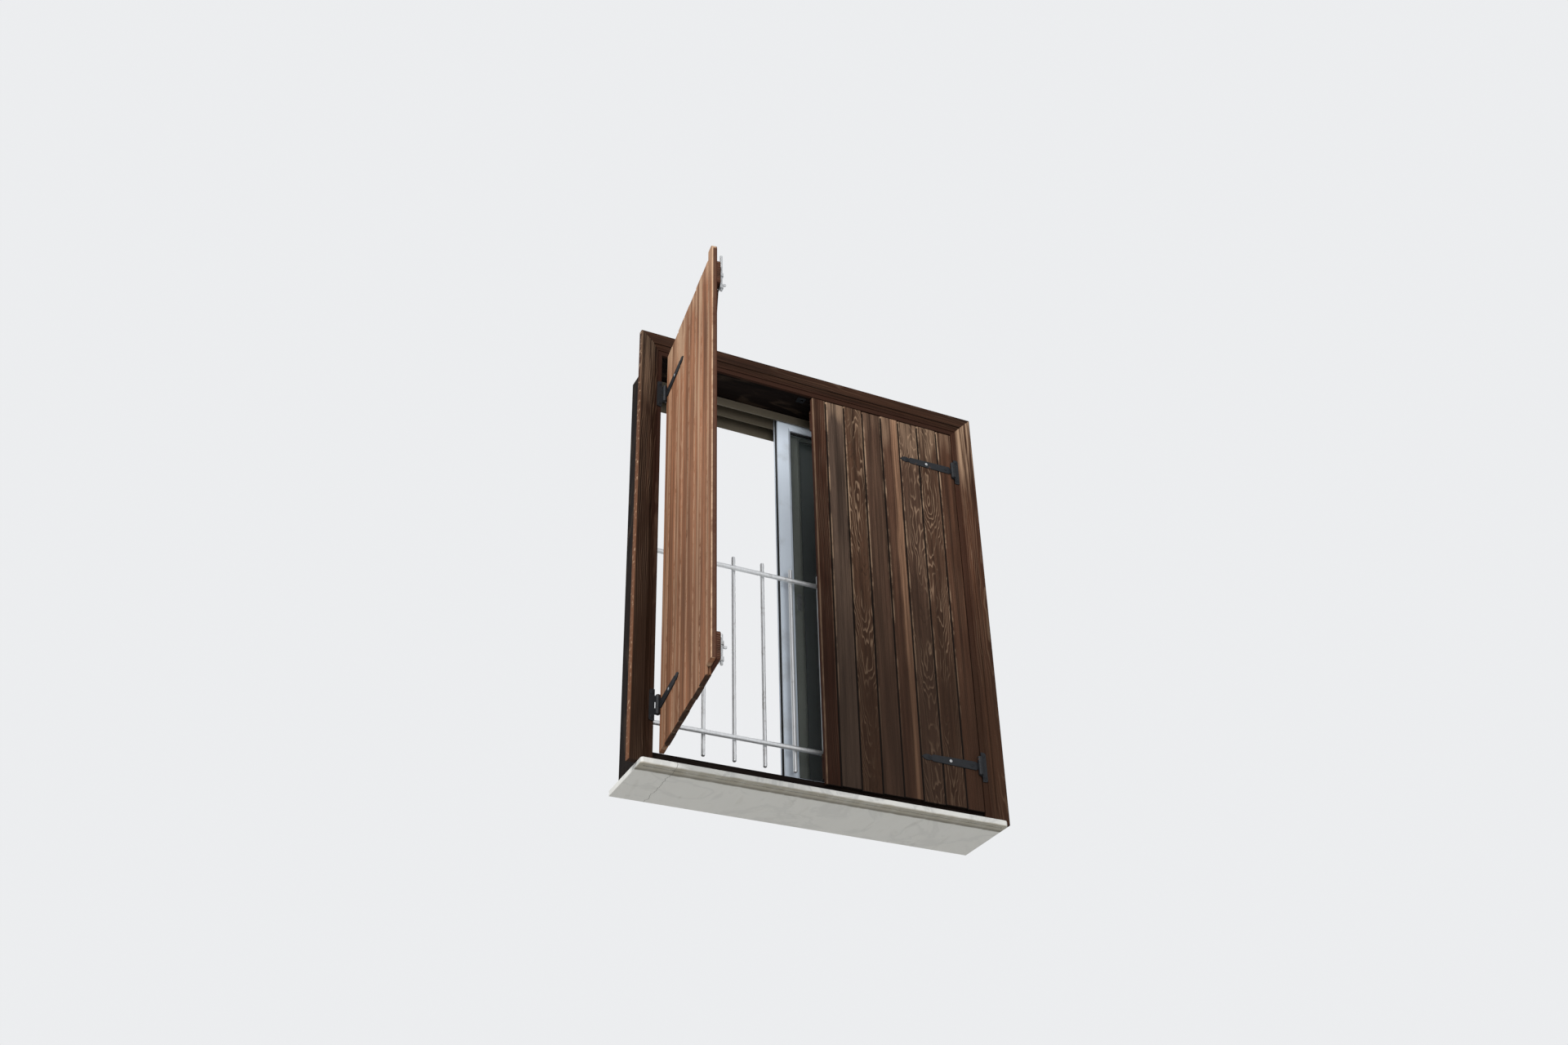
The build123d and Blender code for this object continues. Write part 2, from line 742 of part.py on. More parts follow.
def sash_stile(left_edge, front, side):
    """Upright member with mitred ends; side is -1 for the left one."""
    right_edge = left_edge + sash_width
    if side < 0:
        plane = Plane(origin=(left_edge, front, sash_bottom), x_dir=(1, 0, 0), z_dir=(0, 0, 1))
        bar = member_bar(plane, sash_top - sash_bottom)
        edge = left_edge
    else:
        plane = Plane(origin=(right_edge, front, sash_top), x_dir=(-1, 0, 0), z_dir=(0, 0, -1))
        bar = member_bar(plane, sash_top - sash_bottom)
        edge = right_edge
    bar = split(bar, bisect_by=Plane(origin=(edge, 0, sash_top), z_dir=(side, 0, -1)), keep=Keep.TOP)
    return split(bar, bisect_by=Plane(origin=(edge, 0, sash_bottom), z_dir=(side, 0, 1)), keep=Keep.TOP)


def sash_rail(left_edge, front, top):
    """Level member with mitred ends."""
    right_edge = left_edge + sash_width
    if top:
        plane = Plane(origin=(left_edge, front, sash_top), x_dir=(0, 0, -1), z_dir=(1, 0, 0))
        level = sash_top
        way = 1
    else:
        plane = Plane(origin=(right_edge, front, sash_bottom), x_dir=(0, 0, 1), z_dir=(-1, 0, 0))
        level = sash_bottom
        way = -1
    bar = member_bar(plane, sash_width)
    bar = split(bar, bisect_by=Plane(origin=(left_edge, 0, level), z_dir=(1, 0, way)), keep=Keep.TOP)
    return split(bar, bisect_by=Plane(origin=(right_edge, 0, level), z_dir=(-1, 0, way)), keep=Keep.TOP)


def sash_glass(left_edge, front):
    inset = sash_member_width - glazing_groove_depth + glass_edge_clearance
    middle = front + sash_thick / 2
    return block(left_edge + inset, left_edge + sash_width - inset,
                 middle - glass_thick / 2, middle + glass_thick / 2, sash_bottom + inset, sash_top - inset)


def sash_catch(left_edge, front):
    """Thin catch plate on the meeting stile, with a slot and a screw hole."""
    x = left_edge + catch_from_edge
    y0 = front - catch_thick
    z0 = catch_middle_height - catch_height / 2
    plate = block(x - catch_width / 2, x + catch_width / 2, y0, front, z0, z0 + catch_height)
    plate = fillet(plate.edges().filter_by(Axis.Y), catch_width / 2 - 1.0)
    slot_middle = catch_middle_height - catch_slot_drop
    plate -= block(x - catch_slot_width / 2, x + catch_slot_width / 2, y0 - overrun, front + overrun,
                   slot_middle - catch_slot_height / 2, slot_middle + catch_slot_height / 2)
    screw_height = catch_middle_height + catch_slot_drop
    start = (x, y0 - overrun, screw_height)
    return plate - rod(catch_screw_radius, start, (0, 1, 0), catch_thick + 2 * overrun)


# Placing

def on_left(shape):
    """Mirror a closed right-hand piece and swing it open with the left shutter."""
    hinge_line = Axis((-axis_x, axis_y, 0), (0, 0, 1))
    return mirror(shape, about=Plane.YZ).rotate(hinge_line, -left_shutter_open_angle)


def fixed_left(shape):
    return mirror(shape, about=Plane.YZ)


def write_frame():
    save("stone_sill", stone_sill())
    save("frame_jamb_left", frame_jamb(-1))
    save("frame_jamb_right", frame_jamb(1))
    save("frame_head", frame_head())
    save("frame_bottom", frame_bottom())
    save("casing_left", casing_side(-1))
    save("casing_right", casing_side(1))
    save("casing_head", casing_head())


def write_guard():
    save("guard_rails", [guard_rail(top_rail_height), guard_rail(bottom_rail_height)])
    save("guard_bars", [guard_bar(i) for i in range(bar_count)])


def write_window():
    save("window_head", window_head())
    save("window_track", window_track())
    save("window_jamb_left", window_jamb(-1))
    save("window_jamb_right", window_jamb(1))
    inner_left_edge = sash_home - sash_width
    sashes = (
        ("outer_sash", outer_sash_left_edge, outer_sash_front),
        ("inner_sash", inner_left_edge, inner_sash_front),
    )
    for name, left_edge, front in sashes:
        save(name + "_left_stile", sash_stile(left_edge, front, -1))
        save(name + "_right_stile", sash_stile(left_edge, front, 1))
        save(name + "_top_rail", sash_rail(left_edge, front, True))
        save(name + "_bottom_rail", sash_rail(left_edge, front, False))
        save(name + "_glass", sash_glass(left_edge, front))
    save("inner_sash_catch", sash_catch(inner_left_edge, inner_sash_front))


def write_shutter(name, place, top_steps, bottom_steps, slipped):
    for index in range(len(board_widths)):
        if slipped and index == 0:
            piece = slipped_board()
        else:
            piece = board(index, top_steps[index], bottom_steps[index])
        save("%s_board_%d" % (name, index + 1), place(piece))
    save(name + "_top_ledge", place(ledge(top_ledge_bottom())))
    save(name + "_bottom_ledge", place(ledge(bottom_ledge_bottom())))
    save(name + "_brace", place(brace()))
    save(name + "_upper_strap", place(hinge_strap(upper_hinge)))
    save(name + "_lower_strap", place(hinge_strap(lower_hinge)))
    save(name + "_bolt_cases", [place(bolt_case(top_bolt_plate())), place(bolt_case(bottom_bolt_plate()))])
    save(name + "_top_bolt_rod", place(top_bolt_rod()))
    save(name + "_bottom_bolt_rod", place(bottom_bolt_rod()))


def write_fixed_ironwork():
    heights = (upper_hinge, lower_hinge)
    leaves = [hinge_leaf(z) for z in heights]
    pins = [hinge_pin(z) for z in heights]
    save("hinge_leaves", leaves + [fixed_left(leaf) for leaf in leaves])
    save("hinge_pins", pins + [fixed_left(pin) for pin in pins])
    save("bolt_keepers", [keeper(side, top) for side in (-1, 1) for top in (True, False)])


def main():
    os.makedirs("parts", exist_ok=True)
    write_frame()
    write_guard()
    write_window()
    write_shutter("right", lambda shape: shape, right_top_steps, right_bottom_steps, False)
    write_shutter("left", on_left, left_top_steps, left_bottom_steps, True)
    write_fixed_ironwork()


main()
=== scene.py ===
"""A window with ledged board shutters: its finishes, small fixings, stage and camera."""
import bmesh
import bpy
import json
from collections import namedtuple
from math import atan2, pi, radians
from mathutils import Matrix, Vector


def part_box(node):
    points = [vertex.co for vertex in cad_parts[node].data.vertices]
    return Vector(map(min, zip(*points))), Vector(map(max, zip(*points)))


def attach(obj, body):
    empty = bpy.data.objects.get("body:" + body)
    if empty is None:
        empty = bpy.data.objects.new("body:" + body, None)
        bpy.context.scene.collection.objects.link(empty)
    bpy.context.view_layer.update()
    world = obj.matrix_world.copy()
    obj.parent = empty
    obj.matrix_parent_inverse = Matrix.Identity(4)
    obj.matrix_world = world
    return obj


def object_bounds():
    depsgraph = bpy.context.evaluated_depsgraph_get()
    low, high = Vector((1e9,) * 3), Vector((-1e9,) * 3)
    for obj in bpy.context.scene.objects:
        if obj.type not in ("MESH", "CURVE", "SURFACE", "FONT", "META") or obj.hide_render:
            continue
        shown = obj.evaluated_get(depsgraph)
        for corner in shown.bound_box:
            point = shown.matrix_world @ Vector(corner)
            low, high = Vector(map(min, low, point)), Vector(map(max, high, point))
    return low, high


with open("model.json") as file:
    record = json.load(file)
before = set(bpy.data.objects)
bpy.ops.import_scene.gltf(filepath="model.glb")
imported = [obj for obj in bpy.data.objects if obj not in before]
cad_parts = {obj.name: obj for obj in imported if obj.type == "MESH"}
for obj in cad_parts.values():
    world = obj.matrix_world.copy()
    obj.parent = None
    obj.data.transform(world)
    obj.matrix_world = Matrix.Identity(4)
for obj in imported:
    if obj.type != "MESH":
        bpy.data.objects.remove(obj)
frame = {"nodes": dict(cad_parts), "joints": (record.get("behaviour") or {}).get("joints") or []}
CAD_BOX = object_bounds()

bl_info = {
    "name": "Window with board shutters",
    "version": (1, 0, 0),
    "blender": (4, 5, 0),
    "location": "3D View > Sidebar > Window",
    "description": "Dresses the window's frame with weathered finishes and small fixings",
    "category": "Object",
}

SIDES = ("left", "right")
BOARDS_PER_SHUTTER = 8
GUARD_BARS = 8


# Places taken from the frame

def middle(node):
    low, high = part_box(node)
    return (low + high) / 2


def hinge_line(side):
    """A point on the shutter's hinge pins."""
    for joint in frame["joints"]:
        if joint["name"] == side + "_shutter_hinge":
            return Vector((*joint["pos_m"][:2], 0.0))
    raise RuntimeError("the frame has no hinge for the " + side + " shutter")


def opening_angle():
    """How far the left shutter stands open, from where its top ledge lies."""
    closed = middle("right_top_ledge") - hinge_line("right")
    stands = middle("left_top_ledge") - hinge_line("left")
    return atan2(closed.y, -closed.x) - atan2(stands.y, stands.x)


def shutter_turn(side):
    """Rotation about the hinge from the closed place to the place at rest."""
    if side == "right":
        return Matrix.Identity(4)
    hinge = hinge_line("left")
    turn = Matrix.Rotation(-opening_angle(), 4, "Z")
    return Matrix.Translation(hinge) @ turn @ Matrix.Translation(-hinge)


def on_shutter(side, spots, facing=0.0):
    """Places on one shutter for spots given on the closed right one, turned to face out (0) or in (pi)."""
    flip = -1.0 if side == "left" else 1.0
    face = Matrix.Rotation(facing, 4, "Z")
    return [shutter_turn(side) @ Matrix.Translation((flip * x, y, z)) @ face for x, y, z in spots]


# Sizes and colours that a user would change

def colour(name, description, value):
    return bpy.props.FloatVectorProperty(
        name=name, description=description, subtype="COLOR", size=3, min=0.0, max=1.0, default=value)


def length(name, description, value):
    return bpy.props.FloatProperty(
        name=name, description=description, subtype="DISTANCE", unit="LENGTH", min=0.0, default=value)


def share(name, description, value):
    return bpy.props.FloatProperty(
        name=name, description=description, subtype="FACTOR", min=0.0, max=1.0, default=value)


class WINDOW_PG_timber(bpy.types.PropertyGroup):
    """Colours and relief of the weathered woodwork."""
    stain: colour("Stain", "Brown stain where it has lasted", (0.066, 0.034, 0.019))
    red_stain: colour("Red stain", "Redder stain on sheltered boards", (0.080, 0.029, 0.016))
    silvered: colour("Silvered", "Grey brown of boards that have lost their stain", (0.078, 0.050, 0.036))
    bleached: colour("Bleached", "Bare streaks washed pale", (0.430, 0.285, 0.185))
    # Painted light: besides real fading, this colour holds the sunlight falling on the open shutter's face.
    faded_and_sunlit: colour("Peach", "Sun-faded stain of the open shutter", (0.302, 0.137, 0.072))
    # Also painted shade in the open shutter's grooves, on the meeting edge face and in the casing's sunk
    # steps.
    shaded: colour("Sheltered", "Dark red brown of the faces out of the weather", (0.034, 0.013, 0.008))
    casing: colour("Casing", "Dark brown of the shaded casings", (0.022, 0.011, 0.006))
    # Painted shade: the lining is drawn nearly black for the deep shade of the reveal.
    lining: colour("Lining", "Dark stain of the lining", (0.007, 0.004, 0.003))
    # Painted shade: near black drawn in the grooves and on the sawn board ends.
    groove_and_end_shade: colour("Grime", "Dirt in the grooves and along the feet", (0.007, 0.005, 0.004))
    relief: length("Relief", "Height of the raised grain", 0.0009)


class WINDOW_PG_metal(bpy.types.PropertyGroup):
    """Colours of the ironwork, the guard and the window."""
    iron: colour("Iron", "Black painted hinges", (0.010, 0.011, 0.013))
    rust: colour("Rust", "Rust on worn edges", (0.120, 0.042, 0.016))
    zinc: colour("Zinc", "Plated bolts and screws", (0.560, 0.570, 0.580))
    guard: colour("Guard", "Silver paint of the guard", (0.800, 0.810, 0.820))
    # Painted reflection: the street sash is pushed to blue white for the sky it mirrors and lifted against
    # the shade of the shutters.
    pale: colour("Pale aluminium", "Street sash", (0.800, 0.880, 1.000))
    # Painted shade: the room sash is drawn dim grey green for the shade it lies in behind the front pane.
    dull: colour("Dull aluminium", "Room sash", (0.400, 0.420, 0.370))
    # Painted shade: dark brown drawn for the shade on the head, jambs and track in the reveal.
    aged_and_shaded: colour("Aged aluminium", "Head, jambs and track", (0.120, 0.100, 0.070))
    # Also drawn near black as painted shade inside the sash channels.
    dust_and_shade: colour("Dust", "Dust on ledges and in corners", (0.200, 0.170, 0.130))


class WINDOW_PG_mineral(bpy.types.PropertyGroup):
    """Colours of the stone, the glass and the rubber."""
    marble: colour("Marble", "Face of the sill", (0.700, 0.690, 0.650))
    vein: colour("Vein", "Veins in the sill", (0.420, 0.420, 0.410))
    # Also stands for painted shade on the sill's underside.
    stain: colour("Stain", "Weather stain under the sill", (0.215, 0.185, 0.125))
    mortar: colour("Mortar", "Bedding left on the hidden faces", (0.480, 0.460, 0.420))
    glass: colour("Glass", "Panes", (0.060, 0.072, 0.070))
    clear_cover: share("Front pane", "How much the front pane hides what is behind it", 0.22)
    # Painted shade: the rear pane is made nearly opaque and dark to stand for the unlit room behind it.
    room_shade_cover: share("Rear pane", "How much the dusty rear pane hides what is behind it", 0.88)
    rubber: colour("Rubber", "Glazing strips", (0.012, 0.012, 0.013))


class WINDOW_PG_fixings(bpy.types.PropertyGroup):
    """Sizes of the screws, strips and welds."""
    hinge_screw: length("Hinge screw", "Head radius of the hinge screws", 0.0050)
    ledge_screw: length("Ledge screw", "Head radius of the ledge screws", 0.0042)
    bolt_screw: length("Bolt screw", "Head radius of the bolt screws", 0.0030)
    strip_width: length("Strip width", "Width of the glazing strips in view", 0.0045)
    strip_rise: length("Strip rise", "How far a glazing strip stands off the glass", 0.0035)
    weld: length("Weld", "Radius of a weld between rail and bar", 0.0045)


class WINDOW_PG_stage(bpy.types.PropertyGroup):
    """Camera and floor."""
    camera_place: bpy.props.FloatVectorProperty(
        name="Camera place", description="Where the picture is taken from", subtype="TRANSLATION",
        unit="LENGTH", size=3, default=(-2.0927, -4.0014, -1.9368))
    yaw: bpy.props.FloatProperty(
        name="Yaw", description="Turn to the right of straight on", subtype="ANGLE", default=radians(26.32))
    pitch: bpy.props.FloatProperty(
        name="Pitch", description="Upward tilt", subtype="ANGLE", default=radians(32.92))
    roll: bpy.props.FloatProperty(
        name="Roll", description="Clockwise lean", subtype="ANGLE", default=radians(1.45))
    lens: bpy.props.FloatProperty(
        name="Lens", description="Focal length", subtype="DISTANCE_CAMERA", unit="CAMERA", default=37.72)
    floor_drop: length("Floor drop", "How far the floor lies under the sill", 3.4)
    floor: colour("Floor", "Pale floor", (0.800, 0.800, 0.790))
    backdrop: colour("Backdrop", "Pale surround", (0.840, 0.850, 0.865))


# Shader graphs

class Value:
    """A value that varies over a surface. Each sign adds one Math node."""

    def __init__(self, graph, socket):
        self.graph = graph
        self.socket = socket

    def __add__(self, other):
        return self.graph.maths("ADD", self, other)

    def __sub__(self, other):
        return self.graph.maths("SUBTRACT", self, other)

    def __rsub__(self, other):
        return self.graph.maths("SUBTRACT", other, self)

    def __mul__(self, other):
        return self.graph.maths("MULTIPLY", self, other)

    def __truediv__(self, other):
        return self.graph.maths("DIVIDE", self, other)

    def __abs__(self):
        return self.graph.maths("ABSOLUTE", self)

    __radd__ = __add__
    __rmul__ = __mul__


class Graph:
    """The nodes of one new material, or of a world that is given."""

    def __init__(self, name, world=None):
        self.material = None if world else bpy.data.materials.new(name)
        owner = world or self.material
        owner.use_nodes = True
        self.tree = owner.node_tree
        self.shader = self.tree.nodes.get("Principled BSDF")

    def feed(self, socket, value):
        if isinstance(value, Value):
            self.tree.links.new(value.socket, socket)
        else:
            socket.default_value = value

    def add(self, kind, settings=None, inputs=None, output=0):
        """Any node: its settings first, then the values or links of its sockets."""
        node = self.tree.nodes.new(kind)
        for key, value in (settings or {}).items():
            if key == "stops":
                set_stops(node.color_ramp, value)
            else:
                setattr(node, key, value)
        for key, value in (inputs or {}).items():
            self.feed(node.inputs[key], value)
        return Value(self, node.outputs[output]) if node.outputs else None

    def maths(self, operation, *values):
        return self.add("ShaderNodeMath", {"operation": operation}, dict(enumerate(values)))

    def smooth(self, value, low, high):
        """0 below low, 1 above high, eased between."""
        return self.add("ShaderNodeMapRange", {"interpolation_type": "SMOOTHSTEP"},
                        {"Value": value, "From Min": low, "From Max": high})

    def blend(self, factor, start, end):
        """Colour from start to end."""
        return self.add("ShaderNodeMix", {"data_type": "RGBA"},
                        {0: factor, 6: opaque(start), 7: opaque(end)}, output=2)

    def vector(self, x, y, z):
        return self.add("ShaderNodeCombineXYZ", None, {0: x, 1: y, 2: z})

    def noise(self, place, scale, detail=3.0, roughness=0.5, distortion=0.0):
        return self.add("ShaderNodeTexNoise", None, {
            "Vector": place, "Scale": scale, "Detail": detail,
            "Roughness": roughness, "Distortion": distortion})

    def stretched(self, point, cells, **settings):
        """Noise with its own number of cells to the metre along each part of a point."""
        parts = [part * cell for part, cell in zip(point, cells)]
        return self.noise(self.vector(*parts), 1.0, **settings)

    def place(self, turn=(0.0, 0.0, 0.0), centre=(0.0, 0.0, 0.0)):
        """Object coordinates about a centre, turned back by the piece's own turn."""
        coordinates = self.add("ShaderNodeTexCoord", output=3)
        return self.add("ShaderNodeMapping", {"vector_type": "TEXTURE"},
                        {"Vector": coordinates, "Location": centre, "Rotation": turn})

    def axes(self, place):
        """The three parts of a place."""
        split = self.add("ShaderNodeSeparateXYZ", None, {0: place}).socket.node
        return [Value(self, out) for out in split.outputs]

    def surface(self, base, roughness, metallic=0.0, specular=0.5):
        self.feed(self.shader.inputs["Base Color"], opaque(base))
        self.feed(self.shader.inputs["Roughness"], roughness)
        self.feed(self.shader.inputs["Metallic"], metallic)
        self.shader.inputs["Specular IOR Level"].default_value = specular

    def relief(self, height, distance):
        bump = self.add("ShaderNodeBump", None, {"Height": height, "Distance": distance, "Strength": 1.0})
        self.feed(self.shader.inputs["Normal"], bump)


def set_stops(ramp, stops):
    while len(ramp.elements) < len(stops):
        ramp.elements.new(1.0)
    for element, (position, level) in zip(ramp.elements, stops):
        element.position = position
        element.color = (level, level, level, 1.0)


def opaque(value):
    """A colour socket takes four numbers."""
    if isinstance(value, Value):
        return value
    return (value[0], value[1], value[2], 1.0)


def mixed(start, end, factor):
    return tuple(a + (b - a) * factor for a, b in zip(start, end))


def scaled(tint, factor):
    return tuple(min(1.0, part * factor) for part in tint)


# Timber

BoardLook = namedtuple("BoardLook", (
    "red", "grey",     # shares in the stain
    "bleach",          # share of bleached streaks, below 0 for hardly any
    "figure",          # strength of the rings
    "heart", "eye",    # how far beside the board the tree's heart lay, and how high its eye opens
    "slope", "swirl",  # how steeply the rings rise, and how much they swirl
    "stripe",          # how far from the middle a faded stripe runs, 1.0 being off the board
), defaults=(1.0,))

# The boards from the meeting edge to the hinge edge
RIGHT_BOARDS = [BoardLook(*row) for row in (
    (0.80, 0.00, 0.02, 0.45, 0.050, 1.10, 0.03, 0.4),
    (0.15, 1.00, 0.34, 0.25, 0.150, 0.60, 0.02, 0.4),
    (0.20, 0.15, 0.06, 0.95, 0.006, 1.12, 0.07, 1.9),
    (0.35, 0.45, 0.08, 0.15, 0.110, 0.40, 0.02, 0.3),
    (0.50, 0.25, 0.30, 0.20, 0.200, 0.90, 0.02, 0.3, 0.016),
    (0.30, 0.45, 0.25, 0.75, 0.012, 1.20, 0.07, 1.6),
    (0.25, 0.22, 0.28, 0.85, -0.010, 1.30, 0.08, 1.8),
    (0.45, 0.10, 0.25, 0.25, 0.090, 0.50, 0.03, 0.4),
)]
LEFT_BOARDS = [BoardLook(*row) for row in (
    (0.35, 0.15, 0.60, 0.20, 0.160, 0.70, 0.02, 0.3, -0.018),
    (0.60, 0.00, 0.40, 0.30, 0.120, 0.90, 0.03, 0.4),
    (0.30, 0.05, 0.65, 0.45, 0.030, 0.60, 0.05, 0.5, 0.010),
    (0.40, 0.10, 0.55, 0.25, 0.180, 1.00, 0.02, 0.3),
    (0.60, 0.00, 0.45, 0.30, 0.140, 0.40, 0.02, 0.4),
    (0.40, 0.05, 0.60, 0.45, 0.020, 1.10, 0.06, 0.6, -0.010),
    (0.50, 0.00, 0.50, 0.25, 0.150, 0.80, 0.02, 0.3),
    (0.05, 0.00, 0.72, 0.20, 0.170, 0.50, 0.02, 0.3, 0.006),
)]
LEDGE_LOOK = BoardLook(0.30, 0.00, 0.10, 0.45, 0.050, 0.10, 0.04, 0.6)
LINING_LOOK = BoardLook(0.00, 0.00, -0.30, 0.10, 0.080, 0.80, 0.03, 0.5)
CASING_LOOKS = {
    "casing_left": BoardLook(0.20, 0.00, 0.10, 0.42, 0.030, 0.85, 0.03, 0.7),
    "casing_right": BoardLook(0.50, 0.00, 0.42, 0.40, 0.030, 0.85, 0.03, 0.7),
    "casing_head": BoardLook(0.20, 0.00, 0.05, 0.12, 0.030, 0.85, 0.03, 0.7),
}

# Growth rings: how far they lie apart, waver and swirl, and how blunt they are at the heart and at the eye
RING_SPACING = 0.0052
RING_WAVER = 0.016
RING_SWIRL = 0.020
HEART_BLUNTNESS = 0.0007
EYE_BLUNTNESS = 0.0030
RING_STOPS = ((0.0, 0.0), (0.58, 0.02), (0.83, 0.95), (0.91, 0.50), (0.97, 0.0))

BOARD_SEED = 3.1           # shift of the grain from board to board
TONGUE_REACH = 0.006       # how far a tongue reaches past the face of its board
# Painted shade: the closed meeting board is drawn darker for the shade that falls on it.
MEETING_BOARD_SHADE = 0.62  # how dark the closed meeting board is against the others
# Painted shade: the left casing is drawn darker for the open shutter's shadow on it.
LEFT_CASING_SHADE = 0.66    # and the left casing

# How a shutter has worn
Wear = namedtuple("Wear", (
    "fineness",            # of the grain across a board
    "red", "grey",         # how far the boards' own shares count
    "faded",               # bleach in the faded stripe
    # The foot's darkening is partly less bleaching and partly painted shade.
    "foot",                # damp at the foot
    "chip_cells",          # cells to the metre of the chips along an arris
    # Painted shade: strength of the dark drawn in the grooves.
    "lasting", "chipped",  # level from which chips show, and how strongly
    "groove",              # dirt in the grooves
    # The rubbed corner also carries a painted highlight.
    "frayed", "rubbed",    # how far the meeting corner is frayed and rubbed
))
WEAR = {
    "left": Wear(0.6, 0.40, 0.3, 0.75, 0.30, 24.0, 0.36, 1.0, 0.30, 0.80, 0.25),
    "right": Wear(1.0, 1.00, 1.0, 0.40, 0.70, 9.0, 0.43, 0.8, 0.95, 0.20, 0.15),
}

# Distances from an edge at which a mark along it begins and is full
ARRIS_BAND = (0.0068, 0.0048)
GROOVE_BAND = (0.0034, 0.0020)
CORNER_BAND = (0.0050, 0.0034)
END_FACE_BAND = (0.0009, 0.0003)
BACK_BAND = (0.0012, 0.0004)
BOARD_TOP_BAND = (0.010, 0.004)
FLANK_BAND = (0.0045, 0.0005)
FLAKE_BAND = (0.0018, 0.0006)

# Heights between which a pale crown and a dark foot set in, and the depth at which the weather's marks end
BOARD_CROWN = (1.34, 1.46)
BOARD_FOOT = (0.95, 0.35)
CASING_CROWN = (1.15, 1.45)
CASING_FOOT = (1.05, 0.40)
WEATHERED_DEPTH = (0.0105, 0.0125)

Grain = namedtuple("Grain", "rings streaks fibres patches")

# One board and a point on it
Plank = namedtuple("Plank", (
    "index", "flip",         # its number, and -1 on the left shutter or 1 on the right
    "half", "low", "high",   # half its width, and the corners of its box on the right shutter
    "x", "y", "z",           # the point's place from the hinge line, with the shutter closed
    "from_middle", "depth",  # how far it is from the board's middle and behind its face
))


def grain_field(graph, across, depth, along, look):
    """Growth rings, streaks and fibres of a sawn board, as values from 0 to 1."""
    point = (across, depth, along)
    waver = graph.stretched(point, (9.0, 9.0, 1.6), detail=2.0) - 0.5
    swirl = graph.stretched(point, (30.0, 30.0, 6.5), detail=2.0) - 0.5
    side = across - look.heart + waver * RING_WAVER
    rise = along - look.eye
    bow = graph.maths("SQRT", side * side + HEART_BLUNTNESS)
    climb = graph.maths("SQRT", rise * rise + EYE_BLUNTNESS) * look.slope
    cycle = graph.maths("FRACT", (bow + climb + swirl * (RING_SWIRL * look.swirl)) / RING_SPACING)
    rings = graph.add("ShaderNodeValToRGB", {"stops": RING_STOPS}, {0: cycle})
    streaks = graph.stretched(point, (90.0, 50.0, 1.9), detail=4.0, roughness=0.6)
    fibres = graph.stretched(point, (700.0, 400.0, 22.0), roughness=0.7)
    patches = graph.stretched(point, (16.0, 14.0, 3.4))
    return Grain(rings, streaks, fibres, patches)


def near(graph, distance, edge, band):
    """0 further from an edge than the band, 1 nearer than it."""
    return graph.smooth(distance, edge - band[0], edge - band[1])


def weathered(graph, look, timber, base, grain):
    """Colour of stained timber that the weather has streaked."""
    tint = graph.blend(graph.smooth(grain.streaks, 0.30, 0.70), scaled(base, 0.50), scaled(base, 1.55))
    tint = graph.blend(graph.smooth(grain.fibres, 0.35, 0.75) * 0.45, tint, scaled(base, 0.40))
    threshold = 0.68 - 0.16 * look.bleach
    washed = graph.smooth(grain.streaks * 0.70 + grain.patches * 0.30, threshold, threshold + 0.08)
    tint = graph.blend(washed * (0.30 + 0.60 * look.bleach), tint, timber.bleached)
    worn = graph.smooth(grain.patches, 0.38, 0.58)
    tint = graph.blend(grain.rings * (1.0 - worn) * (0.70 * look.figure), tint, scaled(base, 0.28))
    tint = graph.blend((1.0 - grain.rings) * worn * (0.50 * look.figure), tint, scaled(base, 0.40))
    bare = grain.rings * worn * (0.25 + 0.75 * grain.fibres)
    return graph.blend(bare * (0.95 * look.figure), tint, timber.bleached)


def finish_timber(graph, timber, tint, grain):
    graph.surface(tint, 0.66 + 0.25 * grain.fibres, specular=0.08)
    graph.relief(grain.rings * 0.45 + grain.fibres * 0.35 + grain.streaks * 0.35, timber.relief)
    return graph.material


def faded_face(graph, plank, look, timber, wear, base, grain, tint):
    """The sun's stripe down a board, its bleached crown and its darker foot, partly less bleached and partly
    painted shade.
    """
    waved = plank.z + (grain.patches - 0.5) * 0.5
    drift = plank.from_middle - look.stripe + (grain.patches - 0.5) * 0.020
    stripe = (1.0 - graph.smooth(abs(drift), 0.003, 0.019)) * graph.smooth(grain.streaks, 0.20, 0.62)
    tint = graph.blend(stripe * 0.9, tint, mixed(timber.faded_and_sunlit, timber.bleached, wear.faded))
    crown = graph.smooth(waved, *BOARD_CROWN) * graph.smooth(grain.streaks, 0.35, 0.60)
    tint = graph.blend(crown * (look.bleach * 1.1), tint, timber.bleached)
    # Painted shade and less bleaching: the lower board is drawn darker.
    foot = graph.smooth(waved, *BOARD_FOOT)
    return graph.blend(foot * wear.foot, tint, scaled(base, 0.36))


